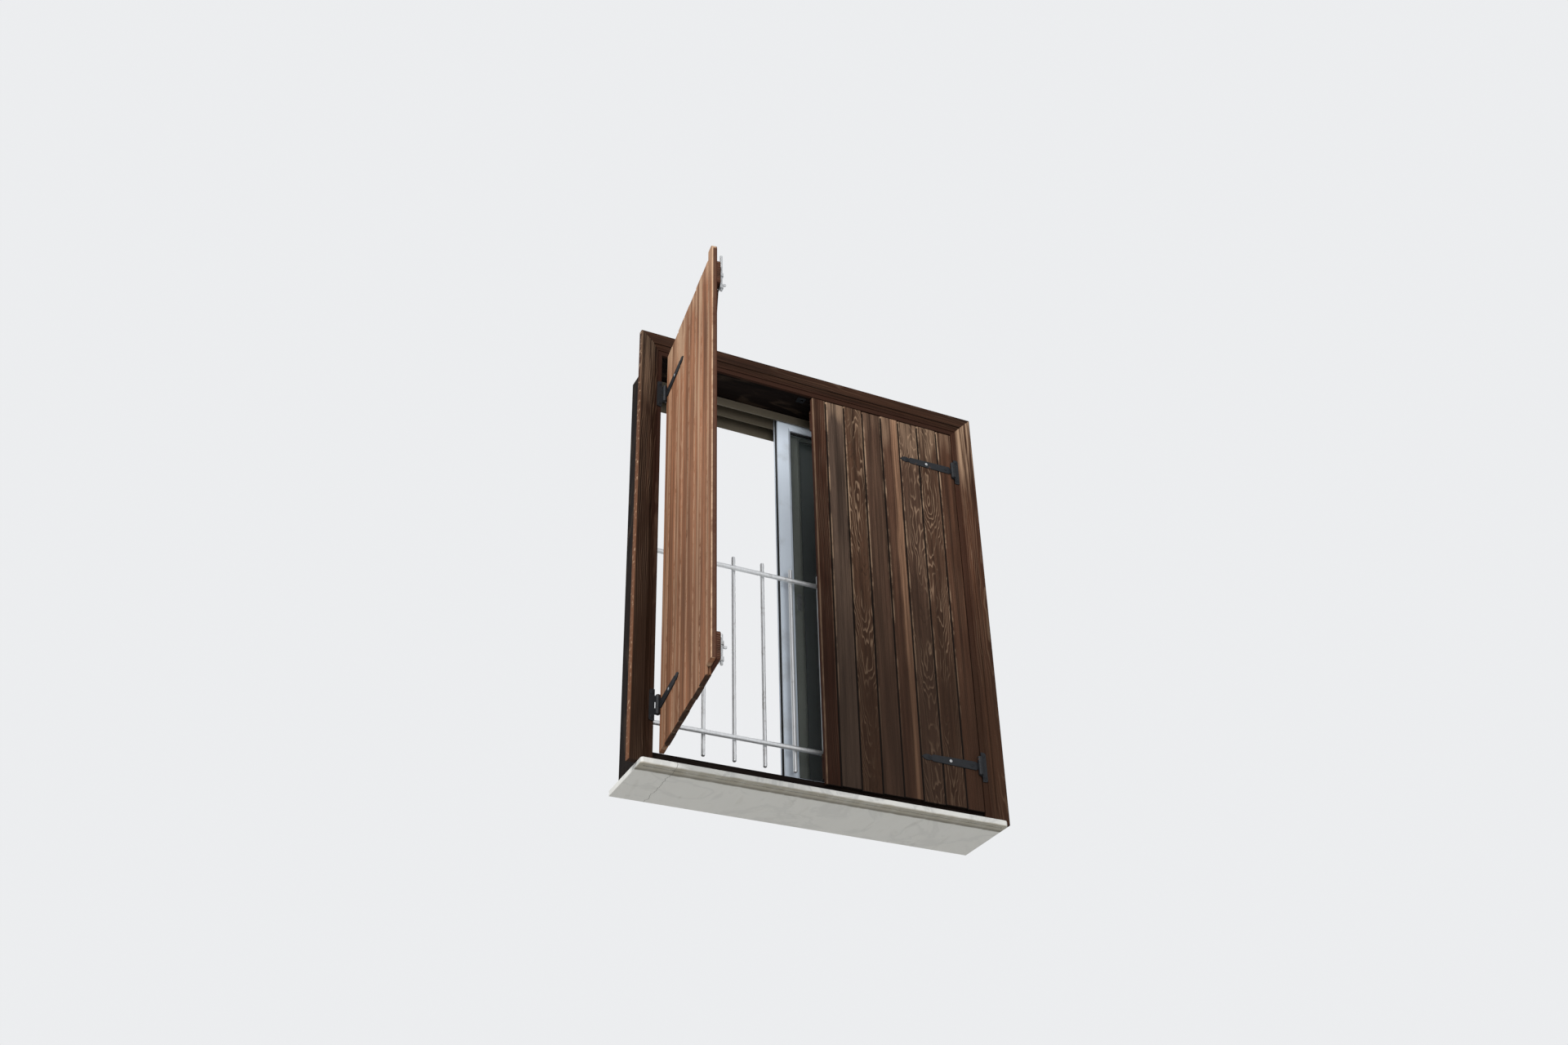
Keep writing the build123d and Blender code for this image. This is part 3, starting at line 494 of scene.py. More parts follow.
def worn_edges(graph, plank, timber, wear, grain, tint):
    """Chipped arrises with a painted highlight on the lit side, grooves in painted shade on the weather side,
    the rubbed meeting corner with a painted highlight and its edge face in painted shade, and the sawn foot
    in painted shade.
    """
    opened = plank.flip < 0.0
    if plank.index == 0:
        edge = plank.from_middle * plank.flip
    elif plank.index == BOARDS_PER_SHUTTER - 1:
        edge = plank.from_middle * -plank.flip
    else:
        edge = abs(plank.from_middle)
    weather_side = 1.0 - graph.smooth(plank.depth, *WEATHERED_DEPTH)
    chips = graph.stretched((plank.x, plank.y, plank.z), (25.0, 25.0, wear.chip_cells),
                            detail=6.0, roughness=0.7)
    # Painted highlight: arrises on the side of each board facing the light, and higher up on the closed
    # shutter, are drawn paler; the chips are real wear.
    lit_side = graph.smooth(plank.from_middle, plank.half * 0.5, -plank.half * 0.5) * 0.7 + 0.3
    if not opened:
        lit_side = lit_side * graph.smooth(plank.z, 0.10, 1.35)
    arris = near(graph, edge + grain.fibres * 0.0012, plank.half, ARRIS_BAND) * lit_side
    chipped = graph.smooth(chips, wear.lasting, wear.lasting + 0.16) * wear.chipped
    tint = graph.blend(arris * chipped * weather_side, tint, timber.bleached)
    # Painted shade in the grooves: near black on the closed shutter, sheltered red brown on the open one.
    groove = near(graph, edge, plank.half, GROOVE_BAND) * weather_side
    below_top = 1.0 - near(graph, plank.z, plank.high.z, BOARD_TOP_BAND)
    tint = graph.blend(groove * below_top * wear.groove, tint, timber.shaded if opened else timber.groove_and_end_shade)
    if plank.index == 0:
        outward = plank.from_middle * -plank.flip
        # The meeting corner: rubbed wear with a pale line painted as highlight.
        corner = near(graph, outward + grain.fibres * 0.001, plank.half, CORNER_BAND)
        frayed = graph.smooth(chips, 0.34, 0.62) * wear.frayed + wear.rubbed
        tint = graph.blend(corner * frayed * weather_side, tint, timber.bleached)
        # Painted shade: the meeting edge face of the first board is drawn dark red brown.
        edge_face_shade = near(graph, outward, plank.half, END_FACE_BAND)
        tint = graph.blend(edge_face_shade * 0.90, tint, scaled(timber.shaded, 1.6))
    # Painted shade: the sawn foot of each board is drawn near black.
    sawn = 1.0 - graph.smooth(plank.z, plank.low.z + 0.0006, plank.low.z + 0.0030)
    return graph.blend(sawn * 0.85, tint, timber.groove_and_end_shade)


def sheltered_back(graph, plank, timber, grain, tint):
    """Dark stain on the face out of the weather."""
    backing = graph.blend(grain.fibres * 0.5 + grain.rings * 0.25, scaled(timber.shaded, 1.25),
                          scaled(timber.shaded, 0.55))
    back = near(graph, plank.depth, plank.high.y - plank.low.y, BACK_BAND)
    return graph.blend(back * 0.88, tint, backing)


def board_material(side, index, look, timber):
    """One tongued board: weathered face, dirty grooves, worn arrises, sheltered back."""
    graph = Graph("%s board %d" % (side, index + 1))
    wear = WEAR[side]
    opened = side == "left"
    flip = -1.0 if opened else 1.0
    low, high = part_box("right_board_%d" % (index + 1))
    tongue = 0.0 if index == BOARDS_PER_SHUTTER - 1 else TONGUE_REACH
    half = (high.x - tongue - low.x) / 2
    hinge = hinge_line("right")
    turn = (0.0, 0.0, -opening_angle() if opened else 0.0)
    x, y, z = graph.axes(graph.place(turn=turn, centre=hinge_line(side)))
    from_middle = x - (low.x + half - hinge.x) * flip
    plank = Plank(index, flip, half, low, high, x, y, z, from_middle, y - (low.y - hinge.y))
    seed = index * BOARD_SEED
    own_look = look._replace(heart=look.heart + seed)
    grain = grain_field(graph, from_middle * wear.fineness + seed, y, z, own_look)
    # The open shutter takes the faded stain that also holds its painted sunlight.
    stain = mixed(timber.faded_and_sunlit if opened else timber.stain, timber.red_stain, look.red * wear.red)
    base = mixed(stain, timber.silvered, look.grey * wear.grey)
    # Painted shade on the closed meeting board.
    if index == 0 and not opened:
        base = scaled(base, MEETING_BOARD_SHADE)
    tint = weathered(graph, look, timber, base, grain)
    tint = faded_face(graph, plank, look, timber, wear, base, grain, tint)
    tint = worn_edges(graph, plank, timber, wear, grain, tint)
    tint = sheltered_back(graph, plank, timber, grain, tint)
    return finish_timber(graph, timber, tint, grain)


def is_upright(node):
    low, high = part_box(node)
    return high.z - low.z > high.x - low.x


def lengthwise(graph, place, upright):
    """Across, depth and along a straight piece whose grain runs upright or level."""
    x, y, z = graph.axes(place)
    return (x, y, z) if upright else (z, y, x)


def ledge_material(name, side, timber, lean):
    """Ledge or brace on the sheltered face, grain along its length."""
    graph = Graph(name.replace("_", " "))
    flip = -1.0 if side == "left" else 1.0
    turn = -opening_angle() if side == "left" else 0.0
    own = middle(name.replace("left", "right"))
    hinge = hinge_line("right")
    place = graph.place(turn=(0.0, 0.0, turn), centre=hinge_line(side))
    centre = (flip * (own.x - hinge.x), own.y - hinge.y, own.z)
    place = graph.add("ShaderNodeMapping", {"vector_type": "TEXTURE"},
                      {"Vector": place, "Location": centre, "Rotation": (0.0, flip * lean, 0.0)})
    across, depth, along = lengthwise(graph, place, upright=lean != 0.0)
    grain = grain_field(graph, across, depth, along, LEDGE_LOOK)
    base = mixed(timber.shaded, timber.red_stain, LEDGE_LOOK.red)
    tint = weathered(graph, LEDGE_LOOK, timber, base, grain)
    return finish_timber(graph, timber, tint, grain)


def sunlit_flank(graph, timber, grain, side, across, depth, along, waved, tint):
    """Outer edge of the left casing: painted sunlight on its side face, with bare flakes along the arris."""
    outward = across * -1.0
    sunlit = near(graph, outward, side, FLANK_BAND) * graph.smooth(waved, 1.75, 0.75)
    # Painted light: the side face toward the light is drawn in the sunlit faded stain.
    lit_flank = scaled(mixed(timber.faded_and_sunlit, timber.red_stain, 0.40), 0.90)
    tint = graph.blend(sunlit * (0.50 + 0.40 * grain.streaks), tint, lit_flank)
    chips = graph.stretched((across, depth, along), (60.0, 60.0, 75.0), detail=4.0, roughness=0.7)
    flaked = near(graph, outward, side, FLAKE_BAND) * graph.smooth(chips, 0.54, 0.66)
    return graph.blend(flaked * 0.80, tint, timber.bleached)


def casing_material(node, timber):
    """Moulded casing: wavy grain, pale streaks where the sun falls, painted shade in the quirks."""
    graph = Graph(node.replace("_", " "))
    low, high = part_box(node)
    centre = (low + high) / 2
    upright = is_upright(node)
    across, depth, along = lengthwise(graph, graph.place(centre=(centre.x, 0.0, 0.0)), upright)
    if not upright:
        across = across - centre.z
    look = CASING_LOOKS[node]
    grain = grain_field(graph, across, depth, along, look)
    # Painted light and shade: the right casing keeps the lighter stain for the light on it, while the left
    # and head casings take the dark casing colour for their shade.
    lit_casing = node == "casing_right"
    base = mixed(timber.stain if lit_casing else timber.casing, timber.red_stain, look.red)
    # Painted shade of the open shutter on the left casing.
    if node == "casing_left":
        base = scaled(base, LEFT_CASING_SHADE)
    tint = weathered(graph, look, timber, base, grain)
    thickness = high.y - low.y
    # Painted shade: the moulding's sunk steps are drawn dark.
    recess_shade = graph.smooth(depth, -thickness * 0.80, -thickness * 0.50)
    tint = graph.blend(recess_shade * 0.65, tint, timber.shaded)
    if upright:
        waved = along + (grain.patches - 0.5) * 0.6
        crown = graph.smooth(waved, *CASING_CROWN) * graph.smooth(grain.streaks, 0.38, 0.58) * (1.0 - recess_shade)
        tint = graph.blend(crown * (0.75 if lit_casing else 0.15), tint, timber.bleached)
        foot = graph.smooth(waved, *CASING_FOOT)
        tint = graph.blend(foot * 0.62, tint, scaled(timber.stain, 0.40))
        if node == "casing_left":
            tint = sunlit_flank(graph, timber, grain, centre.x - low.x, across, depth, along, waved, tint)
    return finish_timber(graph, timber, tint, grain)


def lining_material(node, timber):
    """Dark stain on the lining, deepened with painted shade of the reveal."""
    graph = Graph(node.replace("_", " "))
    across, depth, along = lengthwise(graph, graph.place(centre=middle(node)), is_upright(node))
    grain = grain_field(graph, across, depth, along, LINING_LOOK)
    tint = weathered(graph, LINING_LOOK, timber, timber.lining, grain)
    return finish_timber(graph, timber, tint, grain)


# Metal, stone, glass and rubber

CHANNEL_WALL = 0.0078  # how far inside a sash's faces its open channel begins
CHANNEL_RIM = 0.0125   # and how far in from its outer edges
CRACK_PLACE = -0.493   # of the crack across the sill


def iron_material(metal):
    """Black paint over iron, rubbed and spotted with rust."""
    graph = Graph("painted iron")
    place = graph.place()
    clouds = graph.noise(place, 38.0, detail=5.0, roughness=0.65)
    grit = graph.noise(place, 420.0)
    rusted = graph.smooth(clouds + grit * 0.25, 0.78, 0.88)
    tint = graph.blend(clouds, scaled(metal.iron, 0.6), scaled(metal.iron, 1.8))
    tint = graph.blend(rusted * 0.8, tint, metal.rust)
    graph.surface(tint, 0.36 + 0.40 * grit, metallic=0.10, specular=0.25)
    graph.relief(grit * 0.5 + clouds * 0.5, 0.0005)
    return graph.material


def zinc_material(metal):
    """Plated steel with dull blotches."""
    graph = Graph("zinc plate")
    place = graph.place()
    spangle = graph.noise(place, 160.0, detail=4.0, roughness=0.6)
    dirt = graph.smooth(graph.noise(place, 45.0, detail=4.0), 0.52, 0.70)
    tint = graph.blend(spangle, scaled(metal.zinc, 0.72), scaled(metal.zinc, 1.15))
    tint = graph.blend(dirt * 0.45, tint, metal.dust_and_shade)
    graph.surface(tint, 0.28 + 0.30 * spangle, metallic=0.70)
    graph.relief(spangle, 0.0001)
    return graph.material


def guard_material(metal):
    """Silver paint with fine runs and grey dirt."""
    graph = Graph("silver paint")
    place = graph.place()
    runs = graph.stretched(graph.axes(place), (160.0, 160.0, 14.0))
    dirt = graph.smooth(graph.noise(place, 30.0, detail=5.0, roughness=0.65), 0.54, 0.72)
    tint = graph.blend(runs, scaled(metal.guard, 0.82), scaled(metal.guard, 1.15))
    tint = graph.blend(dirt * 0.40, tint, metal.dust_and_shade)
    graph.surface(tint, 0.26 + 0.22 * runs, metallic=0.60)
    graph.relief(runs, 0.0002)
    return graph.material


def in_channel(graph, sash, point):
    """1 inside the open channel round a sash, 0 on its faces."""
    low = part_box(sash + "_left_stile")[0]
    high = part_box(sash + "_right_stile")[1]
    centre = (low + high) / 2
    reach = high - centre
    wide, deep, tall = [abs(along - at) for along, at in zip(point, centre)]
    between = 1.0 - graph.smooth(deep, reach.y - CHANNEL_WALL - 0.0002, reach.y - CHANNEL_WALL)
    ends = [graph.smooth(off, edge - CHANNEL_RIM, edge - CHANNEL_RIM + 0.001)
            for off, edge in ((wide, reach.x), (tall, reach.z))]
    return between * graph.maths("MAXIMUM", *ends)


def aluminium_material(name, tint, metal, sash=None):
    """Extruded aluminium: die lines, dusty patches, and painted shade inside a sash's open channel."""
    graph = Graph(name)
    place = graph.place()
    point = graph.axes(place)
    lines = graph.stretched(point, (900.0, 900.0, 3.0), detail=2.0)
    clouds = graph.noise(place, 7.0, detail=5.0, roughness=0.6)
    dusty = graph.smooth(clouds, 0.50, 0.75)
    face = graph.blend(lines, scaled(tint, 0.93), scaled(tint, 1.05))
    face = graph.blend(dusty * 0.30, face, metal.dust_and_shade)
    if sash:
        # Painted shade: the open channel round a sash is drawn near black.
        face = graph.blend(in_channel(graph, sash, point) * 0.93, face, scaled(metal.dust_and_shade, 0.15))
    graph.surface(face, 0.36 + 0.25 * clouds, metallic=0.10)
    graph.relief(lines, 0.00006)
    return graph.material


def marble_material(mineral):
    """Pale stone with soft veins, a fine crack, stains under the drip, and painted shade on the underside and
    along the wall.
    """
    graph = Graph("sill marble")
    place = graph.place()
    x, y, z = graph.axes(place)
    low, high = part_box("stone_sill")
    waver = graph.noise(place, 3.5, detail=6.0, roughness=0.6, distortion=1.2)
    veins = 1.0 - graph.smooth(abs(waver - 0.5), 0.0, 0.045)
    clouds = graph.noise(place, 14.0, detail=4.0)
    tint = graph.blend(clouds, scaled(mineral.marble, 0.80), scaled(mineral.marble, 1.08))
    tint = graph.blend(veins * 0.45, tint, mineral.vein)
    drips = graph.stretched((x, y, z), (26.0, 6.0, 60.0), detail=4.0)
    # Weather stain and painted shade: the projecting underside is drawn olive brown.
    under = 1.0 - graph.smooth(z + drips * 0.006, low.z + 0.002, low.z + 0.009)
    bedded = graph.smooth(y + drips * 0.010, 0.000, 0.010)
    tint = graph.blend(under * (1.0 - bedded) * 0.85, tint, mineral.stain)
    # Painted shadow: a dark line where the underside meets the wall.
    wall_shadow = graph.smooth(y + drips * 0.012, -0.016, 0.000) * (1.0 - bedded)
    tint = graph.blend(wall_shadow * under * 0.65, tint, scaled(mineral.stain, 0.30))
    tint = graph.blend(bedded * under * (0.40 + 0.40 * clouds), tint, mineral.mortar)
    wash = graph.smooth(drips, 0.55, 0.78) * graph.smooth(z, high.z - 0.001, high.z - 0.016)
    tint = graph.blend(wash * 0.30, tint, mineral.stain)
    jagged = (graph.stretched((y, z, 0.3), (60.0, 60.0, 1.0)) - 0.5) * 0.020
    crack = 1.0 - graph.smooth(abs(x - CRACK_PLACE + jagged), 0.0003, 0.0011)
    tint = graph.blend(crack * 0.75, tint, scaled(mineral.stain, 0.25))
    graph.surface(tint, 0.42 + 0.30 * clouds)
    graph.relief(clouds * 0.5 - crack * 0.8, 0.0004)
    return graph.material


def glass_material(name, mineral, cover):
    """Dusty pane that mirrors the sky; where its cover is high, as on the rear pane, its dark colour is
    painted shade of the room behind.
    """
    graph = Graph(name)
    film = graph.noise(graph.place(), 5.0, detail=6.0, roughness=0.65)
    tint = graph.blend(film, scaled(mineral.glass, 0.8), scaled(mineral.glass, 1.6))
    graph.surface(tint, 0.03 + 0.06 * film, specular=0.3)
    graph.feed(graph.shader.inputs["Alpha"], cover - 0.05 + 0.10 * film)
    return graph.material


def rubber_material(mineral):
    graph = Graph("glazing rubber")
    specks = graph.noise(graph.place(), 300.0, detail=2.0)
    graph.surface(graph.blend(specks, mineral.rubber, scaled(mineral.rubber, 2.2)), 0.70 + 0.15 * specks)
    graph.relief(specks, 0.0001)
    return graph.material


def paint_nodes(names, material):
    """Gives frame nodes a finish."""
    for name in names:
        for material_slot in frame["nodes"][name].material_slots:
            material_slot.material = material


# Modelling helpers

# Screw heads: sides, then the dome's inset and rise and the slot's half width and depth, as shares
HEAD_SIDES = 18
DOME_INSET = 0.28
DOME_RISE = 0.45
SLOT_HALF = 0.16
SLOT_DEPTH = 0.75

# A weld bead, flattened from front to back
BEAD_SHAPE = (1.25, 0.55, 1.25)


def deselect_all():
    if bpy.context.mode != "OBJECT":
        bpy.ops.object.mode_set(mode="OBJECT")
    bpy.ops.object.select_all(action="DESELECT")


def select_whole():
    bpy.ops.mesh.select_all(action="SELECT")


def select_faces(piece, wanted):
    """Selects, in edit mode, the faces that the test accepts."""
    mesh = bmesh.from_edit_mesh(piece.data)
    for face in mesh.faces:
        face.select_set(wanted(face))
    mesh.select_flush_mode()
    bmesh.update_edit_mesh(piece.data)


def to_mesh_place(piece):
    """Puts the object's place, turn and scale into its mesh."""
    deselect_all()
    piece.select_set(True)
    bpy.context.view_layer.objects.active = piece
    bpy.ops.object.transform_apply(location=True, rotation=True, scale=True)


def copies(model, places, name, body, material):
    """One piece made of a copy of the model at each place, riding on a body."""
    deselect_all()
    made = []
    for place in places:
        copy = model.copy()
        copy.data = model.data.copy()
        copy.data.transform(place)
        bpy.context.scene.collection.objects.link(copy)
        copy.select_set(True)
        made.append(copy)
    bpy.context.view_layer.objects.active = made[0]
    if len(made) > 1:
        bpy.ops.object.join()
    piece = made[0]
    piece.name = name
    piece.data.materials.clear()
    piece.data.materials.append(material)
    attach(piece, body)
    return piece


def screw_inside(head, spots, words, zinc):
    """Plated screws on the sheltered face of both shutters."""
    for side in SIDES:
        places = on_shutter(side, spots, facing=pi)
        copies(head, places, side + words, side + "_shutter", zinc)
    discard(head)


def discard(model):
    bpy.data.objects.remove(model)


def slotted_head(radius, rise):
    """Domed screw head with a driving slot, its outer side towards -Y, seated on y = 0."""
    slot = radius * SLOT_HALF
    crown = -rise * (1.0 + DOME_RISE * 0.9)

    def outer(face):
        return face.normal.y < -0.9

    def in_slot(face):
        centre = face.calc_center_median()
        return outer(face) and centre.y < crown and abs(centre.z) < slot

    deselect_all()
    bpy.ops.mesh.primitive_cylinder_add(vertices=HEAD_SIDES, radius=radius, depth=rise,
                                        location=(0.0, -rise / 2, 0.0), rotation=(pi / 2, 0.0, 0.0))
    head = bpy.context.object
    to_mesh_place(head)
    bpy.ops.object.mode_set(mode="EDIT")
    bpy.ops.mesh.select_mode(type="FACE")
    select_faces(head, outer)
    bpy.ops.mesh.inset(thickness=radius * DOME_INSET, depth=rise * DOME_RISE)
    for level in (-slot, slot):
        select_whole()
        bpy.ops.mesh.bisect(plane_co=(0.0, 0.0, level), plane_no=(0.0, 0.0, 1.0))
    select_faces(head, in_slot)
    bpy.ops.mesh.extrude_region_move(TRANSFORM_OT_translate={"value": (0.0, rise * SLOT_DEPTH, 0.0)})
    bpy.ops.object.mode_set(mode="OBJECT")
    return head


def weld_bead(radius):
    """Flattened bead between a rail and a bar."""
    deselect_all()
    bpy.ops.mesh.primitive_uv_sphere_add(segments=12, ring_count=8, radius=radius)
    bead = bpy.context.object
    bpy.ops.object.mode_set(mode="EDIT")
    select_whole()
    bpy.ops.transform.resize(value=BEAD_SHAPE)
    bpy.ops.object.mode_set(mode="OBJECT")
    bpy.ops.object.shade_smooth()
    return bead


def glazing_strip(low, high, front, width, rise, outward):
    """Mitred rubber ring round a pane; outward is -1 towards the street and 1 towards the room."""
    deselect_all()
    bpy.ops.mesh.primitive_plane_add(size=1.0, location=((low.x + high.x) / 2, front, (low.z + high.z) / 2),
                                     rotation=(pi / 2 * -outward, 0.0, 0.0))
    ring = bpy.context.object
    ring.scale = (high.x - low.x, high.z - low.z, 1.0)
    to_mesh_place(ring)
    bpy.ops.object.mode_set(mode="EDIT")
    bpy.ops.mesh.select_mode(type="FACE")
    select_whole()
    bpy.ops.mesh.inset(thickness=width)
    bpy.ops.mesh.delete(type="FACE")
    select_whole()
    bpy.ops.mesh.extrude_region_move(TRANSFORM_OT_translate={"value": (0.0, outward * rise, 0.0)})
    select_whole()
    bpy.ops.mesh.normals_make_consistent(inside=False)
    bpy.ops.object.mode_set(mode="OBJECT")
    return ring


# Operators

class WindowStep:
    """What every step shares."""
    bl_options = {"REGISTER", "UNDO"}


class WINDOW_OT_boards(WindowStep, bpy.types.Operator):
    """Weathers each board of both shutters"""
    bl_idname = "window.boards"
    bl_label = "Shutter boards"

    def execute(self, context):
        timber = context.scene.window_timber
        for side, looks in (("right", RIGHT_BOARDS), ("left", LEFT_BOARDS)):
            for index, look in enumerate(looks):
                paint_nodes(["%s_board_%d" % (side, index + 1)], board_material(side, index, look, timber))
        return {"FINISHED"}


class WINDOW_OT_ledges(WindowStep, bpy.types.Operator):
    """Stains the ledges and braces on the sheltered faces"""
    bl_idname = "window.ledges"
    bl_label = "Ledges and braces"

    def execute(self, context):
        timber = context.scene.window_timber
        low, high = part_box("right_brace")
        lean = -atan2(high.x - low.x, high.z - low.z)
        for side in SIDES:
            for part, tilt in (("top_ledge", 0.0), ("bottom_ledge", 0.0), ("brace", lean)):
                name = side + "_" + part
                paint_nodes([name], ledge_material(name, side, timber, tilt))
        return {"FINISHED"}


class WINDOW_OT_joinery(WindowStep, bpy.types.Operator):
    """Finishes the casing and the lining"""
    bl_idname = "window.joinery"
    bl_label = "Casing and lining"

    def execute(self, context):
        timber = context.scene.window_timber
        for node in CASING_LOOKS:
            paint_nodes([node], casing_material(node, timber))
        for node in ("frame_jamb_left", "frame_jamb_right", "frame_head", "frame_bottom"):
            paint_nodes([node], lining_material(node, timber))
        return {"FINISHED"}


class WINDOW_OT_sill(WindowStep, bpy.types.Operator):
    """Finishes the stone sill"""
    bl_idname = "window.sill"
    bl_label = "Stone sill"

    def execute(self, context):
        paint_nodes(["stone_sill"], marble_material(context.scene.window_mineral))
        return {"FINISHED"}


class WINDOW_OT_guard(WindowStep, bpy.types.Operator):
    """Paints the guard and welds its bars to the rails"""
    bl_idname = "window.guard"
    bl_label = "Guard"

    def execute(self, context):
        metal = context.scene.window_metal
        paint = guard_material(metal)
        paint_nodes(["guard_rails", "guard_bars"], paint)
        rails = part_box("guard_rails")
        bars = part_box("guard_bars")
        bar_radius = (bars[1].y - bars[0].y) / 2
        rail_radius = (rails[1].y - rails[0].y) / 2
        first = bars[0].x + bar_radius
        pitch = (bars[1].x - bars[0].x - 2 * bar_radius) / (GUARD_BARS - 1)
        seam = (rails[1].y + bars[0].y) / 2
        places = [Matrix.Translation((first + index * pitch, seam, height)) for index in range(GUARD_BARS)
                  for height in (rails[0].z + rail_radius, rails[1].z - rail_radius)]
        bead = weld_bead(context.scene.window_fixings.weld)
        copies(bead, places, "guard_welds", "frame", paint)
        discard(bead)
        return {"FINISHED"}


class WINDOW_OT_window(WindowStep, bpy.types.Operator):
    """Finishes the aluminium window, its panes and its glazing strips"""
    bl_idname = "window.sliding_window"
    bl_label = "Sliding window"

    def execute(self, context):
        metal = context.scene.window_metal
        mineral = context.scene.window_mineral
        fixings = context.scene.window_fixings
        # The head, jambs and track take the dark colour that holds their painted shade.
        aged_and_shaded = aluminium_material("aged aluminium", metal.aged_and_shaded, metal)
        rubber = rubber_material(mineral)
        paint_nodes(["window_head", "window_track", "window_jamb_left", "window_jamb_right"], aged_and_shaded)
        # Painted light: the street sash's blue white stands for the sky it mirrors, the room sash's dim grey
        # green for the shade behind the front pane.
        for sash, tint, pane_name, cover in (("outer_sash", metal.pale, "front glass", mineral.clear_cover),
                                             ("inner_sash", metal.dull, "rear glass", mineral.room_shade_cover)):
            members = [sash + "_" + part for part in ("left_stile", "right_stile", "top_rail", "bottom_rail")]
            paint_nodes(members, aluminium_material(sash.replace("_", " "), tint, metal, sash))
            paint_nodes([sash + "_glass"], glass_material(pane_name, mineral, cover))
            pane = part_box(sash + "_glass")
            low = Vector((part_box(members[0])[1].x, 0.0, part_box(members[3])[1].z))
            high = Vector((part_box(members[1])[0].x, 0.0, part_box(members[2])[0].z))
            for words, front, outward in (("outer", pane[0].y, -1.0), ("inner", pane[1].y, 1.0)):
                ring = glazing_strip(low, high, front, fixings.strip_width, fixings.strip_rise, outward)
                name = "%s_%s_glazing_strip" % (sash, words)
                copies(ring, [Matrix.Identity(4)], name, sash, rubber)
                discard(ring)
        return {"FINISHED"}


class WINDOW_OT_hinges(WindowStep, bpy.types.Operator):
    """Finishes the T hinges and drives their screws"""
    bl_idname = "window.hinges"
    bl_label = "Hinges"
    head_rise = 0.0012
    strap_screws = (0.035, 0.112, 0.186)
    bright_screw = 1
    strap_thickness = 0.0028
    leaf_screw_lift = 0.038
    leaf_screw_inset = 0.009

    def execute(self, context):
        metal = context.scene.window_metal
        iron = iron_material(metal)
        zinc = zinc_material(metal)
        straps = [side + "_" + part + "_strap" for side in SIDES for part in ("upper", "lower")]
        paint_nodes(straps + ["hinge_leaves", "hinge_pins"], iron)
        head = slotted_head(context.scene.window_fixings.hinge_screw, self.head_rise)
        low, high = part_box("right_board_%d" % BOARDS_PER_SHUTTER)
        leaf_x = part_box("hinge_leaves")[1].x - self.leaf_screw_inset
        heights = [middle("right_%s_strap" % part).z for part in ("upper", "lower")]
        front = low.y - self.strap_thickness
        spots = [(high.x - reach, front, z) for z in heights for reach in self.strap_screws]
        bright = spots[self.bright_screw::len(self.strap_screws)]
        painted = [spot for spot in spots if spot not in bright]
        for side in SIDES:
            body = side + "_shutter"
            copies(head, on_shutter(side, bright), side + "_bright_screws", body, zinc)
            copies(head, on_shutter(side, painted), side + "_painted_screws", body, iron)
        leaf_places = [Matrix.Translation((x, front, z + lift)) for x in (-leaf_x, leaf_x) for z in heights
                       for lift in (-self.leaf_screw_lift, self.leaf_screw_lift)]
        copies(head, leaf_places, "leaf_screws", "frame", iron)
        discard(head)
        return {"FINISHED"}


class WINDOW_OT_bolts(WindowStep, bpy.types.Operator):
    """Finishes the tower bolts and screws down their plates"""
    bl_idname = "window.bolts"
    bl_label = "Bolts"
    head_rise = 0.0008
    plate_height = 0.066
    plate_thickness = 0.0015
    inset_x = 0.004
    inset_z = 0.022

    def execute(self, context):
        zinc = zinc_material(context.scene.window_metal)
        # Painted shade: the keepers take the black iron so that they stay as dark as the shaded soffit.
        paint_nodes(["bolt_keepers"], iron_material(context.scene.window_metal))
        nodes = ["inner_sash_catch"]
        for side in SIDES:
            nodes += [side + part for part in ("_bolt_cases", "_top_bolt_rod", "_bottom_bolt_rod")]
        paint_nodes(nodes, zinc)
        head = slotted_head(context.scene.window_fixings.bolt_screw, self.head_rise)
        low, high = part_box("right_bolt_cases")
        face = low.y + self.plate_thickness
        spots = [(x, face, z) for base in (low.z, high.z - self.plate_height)
                 for x in (low.x + self.inset_x, high.x - self.inset_x)
                 for z in (base + self.inset_z, base + self.plate_height - self.inset_z)]
        screw_inside(head, spots, "_bolt_screws", zinc)
        return {"FINISHED"}


class WINDOW_OT_ledge_screws(WindowStep, bpy.types.Operator):
    """Screws the ledges and braces to each board"""
    bl_idname = "window.ledge_screws"
    bl_label = "Ledge screws"
    head_rise = 0.0008
    clear_of_bolt = 0.040
    clear_of_end = 0.014
    from_edge = 0.018
    brace_screws = 4
    brace_top_inset = 0.031
    brace_foot_inset = 0.037

    def execute(self, context):
        zinc = zinc_material(context.scene.window_metal)
        head = slotted_head(context.scene.window_fixings.ledge_screw, self.head_rise)
        spots = []
        for part in ("top_ledge", "bottom_ledge"):
            low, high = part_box("right_" + part)
            for index in range(BOARDS_PER_SHUTTER):
                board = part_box("right_board_%d" % (index + 1))
                x = min((board[0].x + board[1].x) / 2, high.x - self.clear_of_end)
                x = max(x, low.x + self.clear_of_bolt)
                for z in (low.z + self.from_edge, high.z - self.from_edge):
                    spots.append((x, high.y, z))
        low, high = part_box("right_brace")
        top_x, foot_x = low.x + self.brace_top_inset, high.x - self.brace_foot_inset
        for index in range(1, self.brace_screws + 1):
            along = index / (self.brace_screws + 1)
            spots.append((top_x + along * (foot_x - top_x), high.y, high.z + along * (low.z - high.z)))
        screw_inside(head, spots, "_ledge_screws", zinc)
        return {"FINISHED"}


